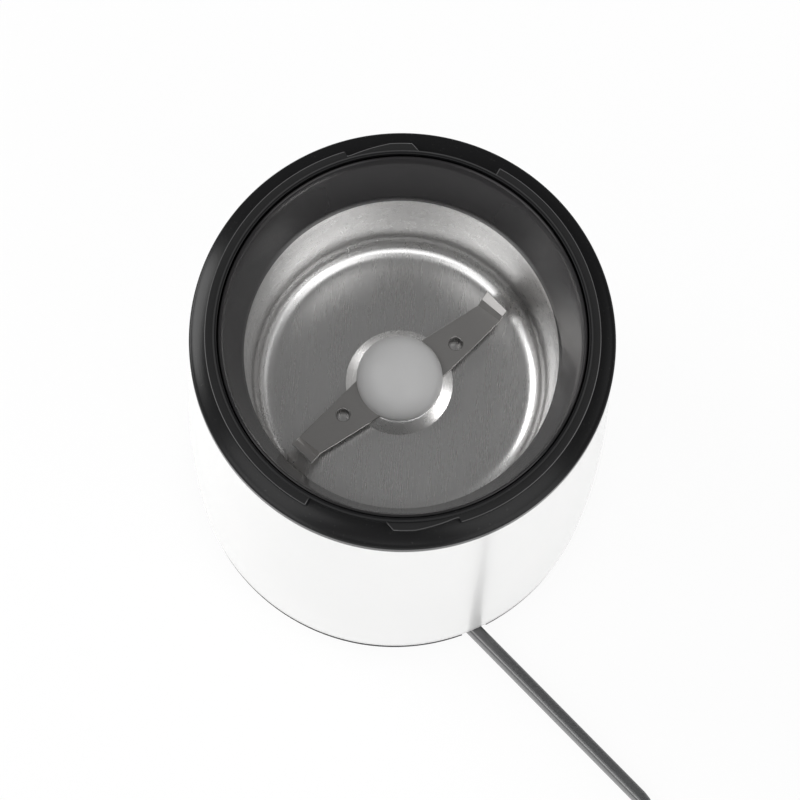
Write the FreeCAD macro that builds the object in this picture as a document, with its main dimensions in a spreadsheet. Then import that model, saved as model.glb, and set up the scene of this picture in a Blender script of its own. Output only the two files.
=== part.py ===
import FreeCAD, Part
import math
import os
import Sketcher
from FreeCAD import Placement, Rotation, Vector

# Electric spice grinder. Millimetres, +Z up, origin on the bowl's axis at floor level.
# The viewer stands at -Y.
os.makedirs("parts", exist_ok=True)
doc = FreeCAD.newDocument("grinder")
sheet = doc.addObject("Spreadsheet::Sheet", "Sizes")
nodes = []


class Size:
    """A number together with the words that give it in the sheet."""

    def __init__(self, value, words):
        self.value = float(value)
        self.words = words

    def __add__(self, other):
        other = sized(other)
        return Size(self.value + other.value, f"({self.words} + {other.words})")

    def __sub__(self, other):
        other = sized(other)
        return Size(self.value - other.value, f"({self.words} - {other.words})")

    def __mul__(self, other):
        other = sized(other)
        return Size(self.value * other.value, f"({self.words} * {other.words})")

    def __truediv__(self, other):
        other = sized(other)
        return Size(self.value / other.value, f"({self.words} / {other.words})")

    def __neg__(self):
        return Size(-self.value, f"(0 - {self.words})")


def sized(item):
    return item if isinstance(item, Size) else Size(item, f"{float(item):g}")


def cosine(angle):
    angle = sized(angle)
    return Size(math.cos(math.radians(angle.value)), f"cos({angle.words} * 1 deg)")


def sine(angle):
    angle = sized(angle)
    return Size(math.sin(math.radians(angle.value)), f"sin({angle.words} * 1 deg)")


class Sizes:
    """Each name set here becomes a cell of the sheet: a number, or a rule on earlier names."""

    def __setattr__(self, name, number):
        cells = self.__dict__
        cell = f"A{len(cells) + 1}"
        rule = isinstance(number, Size)
        sheet.set(cell, "=" + number.words.replace("Sizes.", "") if rule else f"{number:g}")
        sheet.setAlias(cell, name)
        cells[name] = Size(sized(number).value, f"Sizes.{name}")


d = Sizes()


def polar(radius, angle):
    return (sized(radius) * cosine(angle), sized(radius) * sine(angle))


def turned_xy(along, across, angle):
    x = sized(along) * cosine(angle) - sized(across) * sine(angle)
    y = sized(along) * sine(angle) + sized(across) * cosine(angle)
    return (x, y)


# Sketches and features
def pin_point(sketch, item, end, x, y):
    x, y = sized(x), sized(y)
    for number, kind, axis in ((x, "DistanceX", -2), (y, "DistanceY", -1)):
        if number.words == "0":
            sketch.addConstraint(Sketcher.Constraint("PointOnObject", item, end, axis))
            continue
        rule = sketch.addConstraint(Sketcher.Constraint(kind, -1, 1, item, end, number.value))
        sketch.setExpression(f"Constraints[{rule}]", number.words)


def add_outline(sketch, corners):
    first = len(sketch.Geometry)
    count = len(corners)
    ends = []
    for i, corner in enumerate(corners):
        following = corners[(i + 1) % count]
        a = Vector(sized(corner[0]).value, sized(corner[1]).value, 0)
        b = Vector(sized(following[0]).value, sized(following[1]).value, 0)
        if len(corner) == 2:
            sketch.addGeometry(Part.LineSegment(a, b), False)
            ends.append((1, 2))
            continue
        radius = sized(corner[2]).value
        half = (b - a).Length / 2
        reach = math.sqrt(max(radius * radius - half * half, 0))
        left = Vector(-(b - a).y, (b - a).x, 0) / (2 * half)
        centre = (a + b) / 2 + left * math.copysign(reach, radius)
        start, stop = (a, b) if radius > 0 else (b, a)
        from_angle = math.atan2(start.y - centre.y, start.x - centre.x)
        to_angle = math.atan2(stop.y - centre.y, stop.x - centre.x)
        ring = Part.Circle(centre, Vector(0, 0, 1), abs(radius))
        sketch.addGeometry(Part.ArcOfCircle(ring, from_angle, to_angle), False)
        ends.append((1, 2) if radius > 0 else (2, 1))
    for i in range(count):
        j = (i + 1) % count
        sketch.addConstraint(
            Sketcher.Constraint("Coincident", first + i, ends[i][1], first + j, ends[j][0]))
    for i, corner in enumerate(corners):
        pin_point(sketch, first + i, ends[i][0], corner[0], corner[1])
        if len(corner) == 3:
            radius = sized(corner[2])
            if radius.value < 0:
                radius = -radius
            rule = sketch.addConstraint(Sketcher.Constraint("Radius", first + i, radius.value))
            sketch.setExpression(f"Constraints[{rule}]", radius.words)


def add_circle(sketch, x, y, radius):
    x, y, radius = sized(x), sized(y), sized(radius)
    ring = Part.Circle(Vector(x.value, y.value, 0), Vector(0, 0, 1), radius.value)
    item = sketch.addGeometry(ring, False)
    rule = sketch.addConstraint(Sketcher.Constraint("Radius", item, radius.value))
    sketch.setExpression(f"Constraints[{rule}]", radius.words)
    pin_point(sketch, item, 3, x, y)


def new_sketch(body, plane, height=0):
    height = sized(height)
    sketch = body.newObject("Sketcher::SketchObject", body.Name + "_sketch")
    face = [item for item in body.Origin.OriginFeatures if item.Role == plane][0]
    sketch.AttachmentSupport = [(face, "")]
    sketch.MapMode = "FlatFace"
    sketch.AttachmentOffset = Placement(Vector(0, 0, height.value), Rotation())
    sketch.setExpression("AttachmentOffset.Base.z", height.words)
    return sketch


def turned(name, corners):
    body = doc.addObject("PartDesign::Body", name)
    sketch = new_sketch(body, "XZ_Plane")
    add_outline(sketch, corners)
    turn = body.newObject("PartDesign::Revolution", name + "_turn")
    turn.Profile = sketch
    turn.ReferenceAxis = (sketch, ["V_Axis"])
    turn.Angle = 360
    return body


def grown(body, height, length, outlines=(), circles=(), cut=False):
    """Pad upwards from the height, or cut downwards from it."""
    sketch = new_sketch(body, "XY_Plane", height)
    for corners in outlines:
        add_outline(sketch, corners)
    for x, y, radius in circles:
        add_circle(sketch, x, y, radius)
    kind = "PartDesign::Pocket" if cut else "PartDesign::Pad"
    feature = body.newObject(kind, body.Name + "_step")
    feature.Profile = sketch
    length = sized(length)
    feature.Length = length.value
    feature.setExpression("Length", length.words)
    return feature


def repeated(body, feature, count):
    pattern = body.newObject("PartDesign::PolarPattern", body.Name + "_round")
    pattern.Originals = [feature]
    axis = [item for item in body.Origin.OriginFeatures if item.Role == "Z_Axis"][0]
    pattern.Axis = (axis, [""])
    pattern.Angle = 360
    pattern.Occurrences = int(count.value)
    pattern.setExpression("Occurrences", count.words)
    body.Tip = pattern
    return pattern


# Plain solids
def place(item, x, y, z, rotation=None):
    x, y, z = sized(x), sized(y), sized(z)
    item.Placement = Placement(Vector(x.value, y.value, z.value), rotation or Rotation())
    for axis, number in (("x", x), ("y", y), ("z", z)):
        item.setExpression(f"Placement.Base.{axis}", number.words)


def rod(name, x, y, z, radius, length, axis="z", top_radius=None):
    kind = "Part::Cylinder" if top_radius is None else "Part::Cone"
    item = doc.addObject(kind, name)
    if top_radius is None:
        item.setExpression("Radius", sized(radius).words)
    else:
        item.setExpression("Radius1", sized(radius).words)
        item.setExpression("Radius2", sized(top_radius).words)
    item.setExpression("Height", sized(length).words)
    turns = {
        "z": Rotation(),
        "x": Rotation(Vector(0, 1, 0), 90),
        "-x": Rotation(Vector(0, 1, 0), -90),
        "y": Rotation(Vector(1, 0, 0), -90),
    }
    place(item, x, y, z, turns[axis])
    return item


def block(name, x, y, z, wide, deep, high):
    item = doc.addObject("Part::Box", name)
    for field, number in (("Length", wide), ("Width", deep), ("Height", high)):
        item.setExpression(field, sized(number).words)
    place(item, x, y, z)
    return item


def fused(name, items):
    if len(items) == 1:
        return items[0]
    item = doc.addObject("Part::MultiFuse", name)
    item.Shapes = items
    return item


def cut(name, base, tools):
    item = doc.addObject("Part::Cut", name)
    item.Base = base
    item.Tool = fused(name + "_tools", tools)
    return item


def grouped(name, items):
    item = doc.addObject("Part::Compound", name)
    item.Links = items
    return item


def stack(name, x, y, steps):
    """Coaxial cylinders on top of each other, each given as bottom, top, radius."""
    items = []
    for low, high, radius in steps:
        items.append(rod(name + "_step", x, y, low, radius, sized(high) - low))
    return fused(name, items)


def turn_about_axis(item, angle):
    angle = sized(angle)
    item.Placement = Placement(Vector(0, 0, 0), Rotation(Vector(0, 0, 1), angle.value))
    item.setExpression("Placement.Rotation.Angle", angle.words + " * 1 deg")


def spring(name, radius, wire, length, turns, rotation=None, x=0, y=0, z=0):
    """A wire spring whose coils end flush with its length."""
    radius, wire, length, turns = sized(radius), sized(wire), sized(length), sized(turns)
    helix = doc.addObject("Part::Helix", name + "_path")
    rise = length - wire * 2
    helix.setExpression("Radius", radius.words)
    helix.setExpression("Pitch", (rise / turns).words)
    helix.setExpression("Height", rise.words)
    ring = doc.addObject("Part::Circle", name + "_wire")
    ring.setExpression("Radius", wire.words)
    place(ring, radius, 0, 0, Rotation(Vector(1, 0, 0), 90))
    sweep = doc.addObject("Part::Sweep", name + "_coils")
    sweep.Sections = [ring]
    sweep.Spine = (helix, [])
    sweep.Solid = True
    sweep.Frenet = True
    place(sweep, x, y, z, rotation)
    return sweep


def keep(item, name):
    item.Label = name
    nodes.append((name, item))
    return item


# Levels and radii that several pieces share
d.foot_height = 2.0
d.housing_bottom = 4.8
d.housing_top = 117.1
d.housing_high_radius = 43.95
d.housing_flare = 0.81
d.housing_low_radius = d.housing_high_radius + d.housing_flare
d.rim_overhang = 1.05
d.rim_radius = d.housing_high_radius + d.rim_overhang
d.band_inset = 0.26
d.band_radius = d.housing_low_radius - d.band_inset
d.wall = 2.2
d.shaft_radius = 2.5
d.running_gap = 0.06
d.snap_gap = 0.3
d.sheet_steel = 0.8
d.skirt_gap = 0.35
d.skirt_radius = d.housing_high_radius - d.wall - d.skirt_gap
d.flange_inset = 1.8
d.flange_radius = d.skirt_radius - d.flange_inset
d.carrier_drop = 12.7
d.carrier_top = d.housing_top - d.carrier_drop
d.gasket_thick = 1.2
d.ledge_thick = 1.2
d.liner_screw_inset = 3.2
d.liner_screw_ring = d.flange_radius - d.liner_screw_inset
d.liner_screw_hole = 1.2
d.liner_screw_thread = 0.95

# From the rim inwards: collar, slot and plunger, carrier wall, pillars, motor, switch, base ring
d.shoulder_width = 5.0
d.collar_outer = d.rim_radius - d.shoulder_width
d.lip_reach = 1.7
d.lip_outer = d.collar_outer + d.lip_reach
d.slot_lap = 0.05
d.slot_inner = d.collar_outer - d.slot_lap
d.slot_edge = 0.1
d.slot_outer = d.lip_outer - d.slot_edge
d.plunger_gap = 0.15
d.plunger_inner = d.slot_inner + d.plunger_gap
d.plunger_outer = d.slot_outer - d.snap_gap
d.carrier_wall_outer = d.plunger_inner - d.snap_gap
d.carrier_wall = 1.4
d.carrier_wall_inner = d.carrier_wall_outer - d.carrier_wall
d.seat_over = 0.7
d.seat_outer = d.plunger_outer + d.seat_over
d.seat_width = 4.2
d.switch_outer = d.seat_outer - d.seat_width
d.switch_thick = 10.3
d.switch_inner = d.switch_outer - d.switch_thick
d.pillar_radius = 3.4
d.pillar_inset = 5.8
d.pillar_x = d.carrier_wall_outer - d.pillar_inset
d.pillar_y = 12.4
d.base_screw_thread = 1.4
d.stack_gap = 0.6
d.stack_half_x = d.pillar_x - d.pillar_radius - d.stack_gap
d.switch_clear = 3.5
d.stack_half_y = d.switch_inner - d.switch_clear
d.motor_screw_side = 2.5
d.motor_screw_x = d.stack_half_x - d.motor_screw_side
d.motor_screw_end = 2.25
d.motor_screw_y = d.stack_half_y - d.motor_screw_end
d.motor_screw_radius = 1.5
d.switch_angle = 95
d.ring_gap = 0.26
d.plate_ring_outer = d.housing_low_radius - d.wall - d.ring_gap
d.ring_wall = 1.6
d.plate_ring_inner = d.plate_ring_outer - d.ring_wall
d.foot_inset = 6.7
d.foot_ring = d.plate_ring_inner - d.foot_inset

flange_low = d.carrier_top + d.gasket_thick
bowl_top = flange_low + d.sheet_steel
ledge_top = bowl_top + d.ledge_thick
bore = d.shaft_radius + d.running_gap
four_angles = [45, 135, 225, 315]
liner_screw_spots = [polar(d.liner_screw_ring, angle) for angle in four_angles]
pillar_spots = [(d.pillar_x, d.pillar_y), (-d.pillar_x, d.pillar_y),
                (-d.pillar_x, -d.pillar_y), (d.pillar_x, -d.pillar_y)]
corner_spots = [(d.motor_screw_x, d.motor_screw_y), (-d.motor_screw_x, d.motor_screw_y),
                (-d.motor_screw_x, -d.motor_screw_y), (d.motor_screw_x, -d.motor_screw_y)]
foot_spots = [polar(d.foot_ring, angle) for angle in four_angles]

# White body shell, a shallow barrel
d.barrel_radius = 1107
housing = turned("housing", [
    (d.housing_low_radius - d.wall, d.housing_bottom),
    (d.housing_low_radius, d.housing_bottom, d.barrel_radius),
    (d.housing_high_radius, d.housing_top),
    (d.housing_high_radius - d.wall, d.housing_top, d.wall - d.barrel_radius),
])
keep(housing, "housing")

# Black rim ring: side band, sloping shoulder, collar, ledge under the liner
d.ledge_width = 3.6
d.ledge_radius = d.skirt_radius - d.ledge_width
d.collar_wall = 0.8
d.rim_inner = d.collar_outer - d.collar_wall
d.rim_side = 2.5
d.rim_side_top = d.housing_top + d.rim_side
d.rim_edge_round = 0.5
d.shoulder_round = 22.0
d.shoulder_rise = 4.3
d.shoulder_top = d.housing_top + d.shoulder_rise
d.collar_height = 3.6
d.collar_top = d.shoulder_top + d.collar_height
d.collar_chamfer = 0.4
d.lip_space = 1.1
d.lip_low = d.shoulder_top + d.lip_space
d.lip_thick = 1.5
d.lip_lap = 0.4
d.lip_inner = d.collar_outer - d.lip_lap
d.lip_slope_lap = 0.1
d.lip_slope_radius = d.collar_outer - d.lip_slope_lap
d.lip_bump_reach = 1.75
d.lip_bump_radius = d.collar_outer + d.lip_bump_reach
d.lip_notch_reach = 0.6
d.lip_notch_radius = d.collar_outer + d.lip_notch_reach
d.lip_slope_end = 89.1
d.lip_bump_start = 91.7
d.lip_bump_end = 98.8
d.lip_notch_start = 109.8
d.lip_notch_end = 111.5
d.lip_end = 245
d.two = 2
d.slot_half = 2.1
rim_top = d.rim_side_top + d.rim_edge_round
rim = turned("rim_ring", [
    (d.ledge_radius, bowl_top),
    (d.skirt_radius, bowl_top),
    (d.skirt_radius, d.housing_top),
    (d.rim_radius, d.housing_top),
    (d.rim_radius, d.rim_side_top, d.rim_edge_round),
    (d.rim_radius - d.rim_edge_round, rim_top, d.shoulder_round),
    (d.collar_outer, d.shoulder_top),
    (d.collar_outer, d.collar_top - d.collar_chamfer),
    (d.collar_outer - d.collar_chamfer, d.collar_top),
    (d.rim_inner, d.collar_top),
    (d.rim_inner, ledge_top),
    (d.ledge_radius, ledge_top),
])
lip = grown(rim, d.lip_low, d.lip_thick, outlines=[[
    polar(d.lip_slope_radius, d.lip_slope_end),
    polar(d.lip_bump_radius, d.lip_bump_start) + (d.lip_bump_radius,),
    polar(d.lip_bump_radius, d.lip_bump_end),
    polar(d.lip_notch_radius, d.lip_notch_start),
    polar(d.lip_notch_radius, d.lip_notch_end),
    polar(d.lip_outer, d.lip_notch_end) + (d.lip_outer,),
    polar(d.lip_outer, d.lip_end),
    polar(d.lip_inner, d.lip_end) + (-d.lip_inner,),
    polar(d.lip_inner, d.lip_slope_end),
]])
repeated(rim, lip, d.two)
slot_low = bowl_top - d.wall
slot_corners = [turned_xy(u, v, d.switch_angle) for u, v in (
    (d.slot_inner, -d.slot_half), (d.slot_outer, -d.slot_half),
    (d.slot_outer, d.slot_half), (d.slot_inner, d.slot_half))]
rim.Tip = grown(rim, d.lip_low, d.lip_low - slot_low, outlines=[slot_corners], cut=True)
keep(rim, "rim_ring")

# Smoky conical liner between rim and bowl, with screw bosses behind it
d.liner_outer = d.rim_inner - d.snap_gap
d.liner_edge = 0.7
d.liner_top_radius = d.liner_outer - d.liner_edge
d.liner_slope = 4.7
d.bowl_radius = d.liner_top_radius - d.liner_slope
d.liner_drop = 1.0
d.liner_top = d.collar_top - d.liner_drop
d.liner_step_gap = 0.2
d.liner_step = d.ledge_radius - d.liner_step_gap
d.liner_flange = 1.2
d.liner_back_inset = 3.26
d.liner_back_low = d.liner_outer - d.liner_back_inset
d.liner_back_drop = 2.9
d.liner_back_top = d.liner_top - d.liner_back_drop
d.boss_radius = 1.9
d.boss_height = 3.6
d.boss_hole_depth = 3.2
liner = turned("liner", [
    (d.bowl_radius, bowl_top),
    (d.liner_step, bowl_top),
    (d.liner_step, ledge_top),
    (d.liner_outer, ledge_top),
    (d.liner_outer, ledge_top + d.liner_flange),
    (d.liner_back_low, ledge_top + d.liner_flange),
    (d.liner_outer, d.liner_back_top),
    (d.liner_outer, d.liner_top),
    (d.liner_top_radius, d.liner_top),
])
grown(liner, bowl_top, d.boss_height, circles=[(x, y, d.boss_radius) for x, y in liner_screw_spots])
liner.Tip = grown(liner, bowl_top + d.boss_hole_depth, d.boss_hole_depth, cut=True,
                  circles=[(x, y, d.liner_screw_thread) for x, y in liner_screw_spots])
keep(liner, "liner")

# Stainless bowl with a raised boss ring round its middle hole
d.bowl_taper = 1.7
d.bowl_low_radius = d.bowl_radius - d.bowl_taper
d.bowl_depth = 28.9
d.bowl_floor = bowl_top - d.bowl_depth
d.bowl_bend = 4.7
d.bowl_bend_top = d.bowl_floor + d.bowl_bend
d.bowl_boss_radius = 11.5
d.bowl_boss_top_radius = 8.0
d.bowl_boss_rise = 2.1
d.bowl_hole = 6.2
bowl_under = d.bowl_floor - d.sheet_steel
boss_top = d.bowl_floor + d.bowl_boss_rise
bowl = turned("bowl", [
    (d.bowl_hole, boss_top - d.sheet_steel),
    (d.bowl_boss_top_radius, boss_top - d.sheet_steel),
    (d.bowl_boss_radius, bowl_under),
    (d.bowl_low_radius - d.bowl_bend, bowl_under, d.bowl_bend + d.sheet_steel),
    (d.bowl_low_radius + d.sheet_steel, d.bowl_bend_top),
    (d.bowl_radius + d.sheet_steel, flange_low),
    (d.flange_radius, flange_low),
    (d.flange_radius, bowl_top),
    (d.bowl_radius, bowl_top),
    (d.bowl_low_radius, d.bowl_bend_top, -d.bowl_bend),
    (d.bowl_low_radius - d.bowl_bend, d.bowl_floor),
    (d.bowl_boss_radius, d.bowl_floor),
    (d.bowl_boss_top_radius, boss_top),
    (d.bowl_hole, boss_top),
])
bowl.Tip = grown(bowl, ledge_top, d.wall, cut=True,
                 circles=[(x, y, d.liner_screw_hole) for x, y in liner_screw_spots])
keep(bowl, "bowl")

# Gasket between the bowl flange and the carrier
d.gasket_clear = 1.4
d.gasket_inner = d.bowl_radius + d.gasket_clear
gasket = turned("bowl_gasket", [
    (d.gasket_inner, d.carrier_top),
    (d.flange_radius, d.carrier_top),
    (d.flange_radius, flange_low),
    (d.gasket_inner, flange_low),
])
gasket.Tip = grown(gasket, flange_low, d.gasket_thick, cut=True,
                   circles=[(x, y, d.liner_screw_hole) for x, y in liner_screw_spots])
keep(gasket, "bowl_gasket")

# Rubber seal round the shaft in the bowl's hole
d.seal_flange = 7.4
d.seal_drop = 2.1
d.seal_low = d.bowl_floor - d.seal_drop
seal = turned("shaft_seal", [
    (bore, d.seal_low),
    (d.seal_flange, d.seal_low),
    (d.seal_flange, boss_top - d.sheet_steel),
    (d.bowl_hole, boss_top - d.sheet_steel),
    (d.bowl_hole, boss_top - d.snap_gap),
    (bore, boss_top - d.snap_gap),
])
keep(seal, "shaft_seal")

# Motor carrier: flange under the gasket, cup wall, disc and four pillars to the base
d.carrier_flange = 2.0
d.carrier_lap = 0.1
d.carrier_flange_inner = d.gasket_inner + d.carrier_lap
d.carrier_edge = 0.2
d.carrier_flange_outer = d.skirt_radius - d.carrier_edge
d.disc_drop = 7.1
d.carrier_disc_low = d.bowl_floor - d.disc_drop
d.carrier_disc_thick = 2.0
d.carrier_hole = 12.0
d.plate_top = 5.0
d.base_screw_depth = 18.0
carrier_flange_low = d.carrier_top - d.carrier_flange
disc_top = d.carrier_disc_low + d.carrier_disc_thick
carrier = turned("motor_carrier", [
    (d.carrier_hole, d.carrier_disc_low),
    (d.carrier_wall_outer, d.carrier_disc_low),
    (d.carrier_wall_outer, carrier_flange_low),
    (d.carrier_flange_outer, carrier_flange_low),
    (d.carrier_flange_outer, d.carrier_top),
    (d.carrier_flange_inner, d.carrier_top),
    (d.carrier_flange_inner, carrier_flange_low),
    (d.carrier_wall_inner, carrier_flange_low),
    (d.carrier_wall_inner, disc_top),
    (d.carrier_hole, disc_top),
])
grown(carrier, d.plate_top, d.carrier_disc_low - d.plate_top,
      circles=[(x, y, d.pillar_radius) for x, y in pillar_spots])
grown(carrier, d.plate_top + d.base_screw_depth, d.base_screw_depth, cut=True,
      circles=[(x, y, d.base_screw_thread) for x, y in pillar_spots])
grown(carrier, disc_top, d.carrier_disc_thick, cut=True,
      circles=[(x, y, d.motor_screw_radius) for x, y in corner_spots])
grown(carrier, d.carrier_top, d.carrier_flange, cut=True,
      circles=[(x, y, d.liner_screw_hole) for x, y in liner_screw_spots])
carrier.Tip = grown(carrier, d.carrier_top, d.carrier_flange, outlines=[slot_corners], cut=True)
keep(carrier, "motor_carrier")

# Screws that pull the liner, rim ring and bowl onto the carrier
d.liner_head = 1.9
d.liner_head_height = 1.5
screws = []
for x, y in liner_screw_spots:
    screws.append(stack("liner_screw", x, y, [
        (carrier_flange_low - d.liner_head_height, carrier_flange_low, d.liner_head),
        (carrier_flange_low, bowl_top + d.boss_hole_depth, d.liner_screw_thread)]))
keep(grouped("liner_screw_set", screws), "liner_screws")

# Cord line: where it leaves the housing and which way
d.exit_inset = 1.504
d.exit_bearing = -62.05
d.exit_angle = -41.4
d.cord_radius = 2.2
d.relief_length = 22.0
d.relief_radius = 3.6
d.relief_rise = 1.7
d.channel_half = 2.6
d.channel_inner_half = 4.0
d.channel_inner = 32.0
d.channel_outer = 6.0
exit_x, exit_y = polar(d.housing_low_radius - d.exit_inset, d.exit_bearing)


def on_cord_line(along, across):
    x, y = turned_xy(along, across, d.exit_angle)
    return (x + exit_x, y + exit_y)


# Black base plate with a ring that centres the housing, vents and the cord channel
d.plate_ring_top = 9.0
d.screw_head_radius = 3.0
d.screw_head_height = 1.6
d.screw_sink = 1.8
d.foot_stem = 2.2
d.vent_inner = 13.0
d.vent_outer = 26.0
d.vent_half = 1.2
d.vent_count = 14
base = turned("base_plate", [
    (0, d.foot_height),
    (d.band_radius, d.foot_height),
    (d.band_radius, d.housing_bottom),
    (d.plate_ring_outer, d.housing_bottom),
    (d.plate_ring_outer, d.plate_ring_top),
    (d.plate_ring_inner, d.plate_ring_top),
    (d.plate_ring_inner, d.plate_top),
    (0, d.plate_top),
])
vent = grown(base, d.plate_top, d.plate_top, cut=True, outlines=[[
    (d.vent_inner, -d.vent_half), (d.vent_outer, -d.vent_half),
    (d.vent_outer, d.vent_half), (d.vent_inner, d.vent_half)]])
repeated(base, vent, d.vent_count)
grown(base, d.plate_top, d.plate_top, cut=True,
      circles=[(x, y, d.base_screw_thread) for x, y in pillar_spots]
      + [(x, y, d.foot_stem) for x, y in foot_spots])
grown(base, d.foot_height + d.screw_sink, d.plate_top, cut=True,
      circles=[(x, y, d.screw_head_radius + d.snap_gap) for x, y in pillar_spots])
base.Tip = grown(base, d.plate_ring_top, d.plate_ring_top, cut=True, outlines=[[
    on_cord_line(-d.channel_inner, -d.channel_inner_half),
    on_cord_line(d.channel_outer, -d.channel_half),
    on_cord_line(d.channel_outer, d.channel_half),
    on_cord_line(-d.channel_inner, d.channel_inner_half)]])
keep(base, "base_plate")

d.foot_radius = 6.0
d.foot_head = 3.2
d.foot_head_height = 1.2
feet = []
for x, y in foot_spots:
    feet.append(stack("foot", x, y, [
        (0, d.foot_height, d.foot_radius),
        (d.foot_height, d.plate_top, d.foot_stem),
        (d.plate_top, d.plate_top + d.foot_head_height, d.foot_head)]))
keep(grouped("foot_set", feet), "rubber_feet")

head_top = d.foot_height + d.screw_sink
screws = []
for x, y in pillar_spots:
    screws.append(stack("base_screw", x, y, [
        (head_top - d.screw_head_height, head_top, d.screw_head_radius),
        (head_top, d.plate_top + d.base_screw_depth, d.base_screw_thread)]))
keep(grouped("base_screw_set", screws), "base_screws")

# Motor frame: brackets, spacers, long screws and rubber mounts
d.bracket_low = 12.0
d.bracket_thick = 2.4
d.bracket_drop = 5.0
d.bracket_high = d.carrier_disc_low - d.bracket_drop
d.fan_gap = 1.6
d.fan_high = d.bracket_high - d.fan_gap
d.fan_height = 4.2
d.fan_low = d.fan_high - d.fan_height
d.fan_rise = 5.6
d.stack_low = 32.0
d.stack_high = d.fan_low - d.fan_rise
d.bush_radius = 5.5
d.hub_radius = 8.0
d.hub_drop = 1.2
d.bracket_ear = 5.5
d.bracket_window_half_x = d.motor_screw_x - d.bracket_ear
d.bracket_window_near = 9.5
d.bracket_edge = 3.75
d.bracket_window_far = d.motor_screw_y - d.bracket_edge
d.spacer_radius = 3.2
d.mount_radius = 4.5
d.motor_head_radius = 2.8
d.motor_head_height = 1.6


def bracket(name, low):
    plate = block(name + "_plate", -d.stack_half_x, -d.stack_half_y, low,
                  d.stack_half_x * 2, d.stack_half_y * 2, d.bracket_thick)
    hub = rod(name + "_hub", 0, 0, low - d.hub_drop, d.hub_radius, d.bracket_thick + d.hub_drop)
    tools = [rod(name + "_bore", 0, 0, low - d.hub_drop, d.bush_radius,
                 d.bracket_thick + d.hub_drop)]
    for x, y in corner_spots:
        tools.append(rod(name + "_hole", x, y, low, d.motor_screw_radius, d.bracket_thick))
    window = d.bracket_window_far - d.bracket_window_near
    for y in (d.bracket_window_near, -d.bracket_window_far):
        tools.append(block(name + "_window", -d.bracket_window_half_x, y, low,
                           d.bracket_window_half_x * 2, window, d.bracket_thick))
    return cut(name, fused(name + "_solid", [plate, hub]), tools)


keep(bracket("lower_frame", d.bracket_low), "lower_bracket")
keep(bracket("upper_frame", d.bracket_high), "upper_bracket")

lower_top = d.bracket_low + d.bracket_thick
upper_top = d.bracket_high + d.bracket_thick
spacers = []
for x, y in corner_spots:
    for low, high in ((lower_top, d.stack_low), (d.stack_high, d.bracket_high)):
        tube = rod("spacer_tube", x, y, low, d.spacer_radius, high - low)
        hole = rod("spacer_hole", x, y, low, d.motor_screw_radius, high - low)
        spacers.append(cut("spacer", tube, [hole]))
keep(grouped("spacer_set", spacers), "spacer_tubes")

mounts = []
for x, y in corner_spots:
    tube = rod("mount_tube", x, y, upper_top, d.mount_radius, d.carrier_disc_low - upper_top)
    hole = rod("mount_hole", x, y, upper_top, d.motor_screw_radius, d.carrier_disc_low - upper_top)
    mounts.append(cut("mount", tube, [hole]))
keep(grouped("mount_set", mounts), "rubber_mounts")

screws = []
for x, y in corner_spots:
    screws.append(stack("motor_screw", x, y, [
        (d.bracket_low - d.motor_head_height, d.bracket_low, d.motor_head_radius),
        (d.bracket_low, disc_top, d.motor_screw_radius)]))
keep(grouped("motor_screw_set", screws), "motor_screws")

# Bushes
d.shaft_low = 11.0
d.lower_bush_low = 9.2
d.lower_bush_top = 16.5
d.shaft_end_gap = 0.1
d.bush_drop = 0.8
d.upper_bush_low = d.bracket_high - d.bush_drop
d.bush_rise = 3.8
d.upper_bush_top = d.bracket_high + d.bush_rise
lower_bush = turned("lower_bush", [
    (0, d.lower_bush_low),
    (d.bush_radius, d.lower_bush_low),
    (d.bush_radius, d.lower_bush_top),
    (bore, d.lower_bush_top),
    (bore, d.shaft_low - d.shaft_end_gap),
    (0, d.shaft_low - d.shaft_end_gap),
])
keep(lower_bush, "lower_bush")
upper_bush = turned("upper_bush", [
    (bore, d.upper_bush_low),
    (d.bush_radius, d.upper_bush_low),
    (d.bush_radius, d.upper_bush_top),
    (bore, d.upper_bush_top),
])
keep(upper_bush, "upper_bush")

# Stator: laminated frame with two poles, and a coil round each pole
d.frame_side = 5.0
d.window_half_x = d.stack_half_x - d.frame_side
d.frame_end = 4.5
d.window_half_y = d.stack_half_y - d.frame_end
d.coil_gap = 0.4
d.coil_stop = d.window_half_x - d.coil_gap
d.coil_share = 0.276423
d.coil_wide = d.coil_stop * d.coil_share
d.coil_start = d.coil_stop - d.coil_wide
d.shoe_gap = 1.2
d.shoe_radius = d.coil_start - d.shoe_gap
d.pole_half = 6.0
d.pole_lap = 0.6
d.pole_start = d.shoe_radius - d.pole_lap
d.shoe_thick = 2.3
d.stator_bore = d.shoe_radius - d.shoe_thick
d.shoe_half = 12.0
stack_height = d.stack_high - d.stack_low
frame = cut("stator_frame",
            block("stator_block", -d.stack_half_x, -d.stack_half_y, d.stack_low,
                  d.stack_half_x * 2, d.stack_half_y * 2, stack_height),
            [block("stator_window", -d.window_half_x, -d.window_half_y, d.stack_low,
                   d.window_half_x * 2, d.window_half_y * 2, stack_height)])
poles = []
for x in (d.pole_start, -d.window_half_x):
    poles.append(block("pole", x, -d.pole_half, d.stack_low,
                       d.window_half_x - d.pole_start, d.pole_half * 2, stack_height))
shoe_ring = cut("shoe_ring",
                rod("shoe_outside", 0, 0, d.stack_low, d.shoe_radius, stack_height),
                [rod("shoe_bore", 0, 0, d.stack_low, d.stator_bore, stack_height)])
shoes = doc.addObject("Part::Common", "shoes")
shoes.Base = shoe_ring
shoes.Tool = block("shoe_band", -d.stack_half_x, -d.shoe_half, d.stack_low,
                   d.stack_half_x * 2, d.shoe_half * 2, stack_height)
stator_solid = fused("stator_solid", [frame, shoes] + poles)
stator = cut("stator", stator_solid,
             [rod("stator_hole", x, y, d.stack_low, d.motor_screw_radius, stack_height)
              for x, y in corner_spots])
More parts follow.
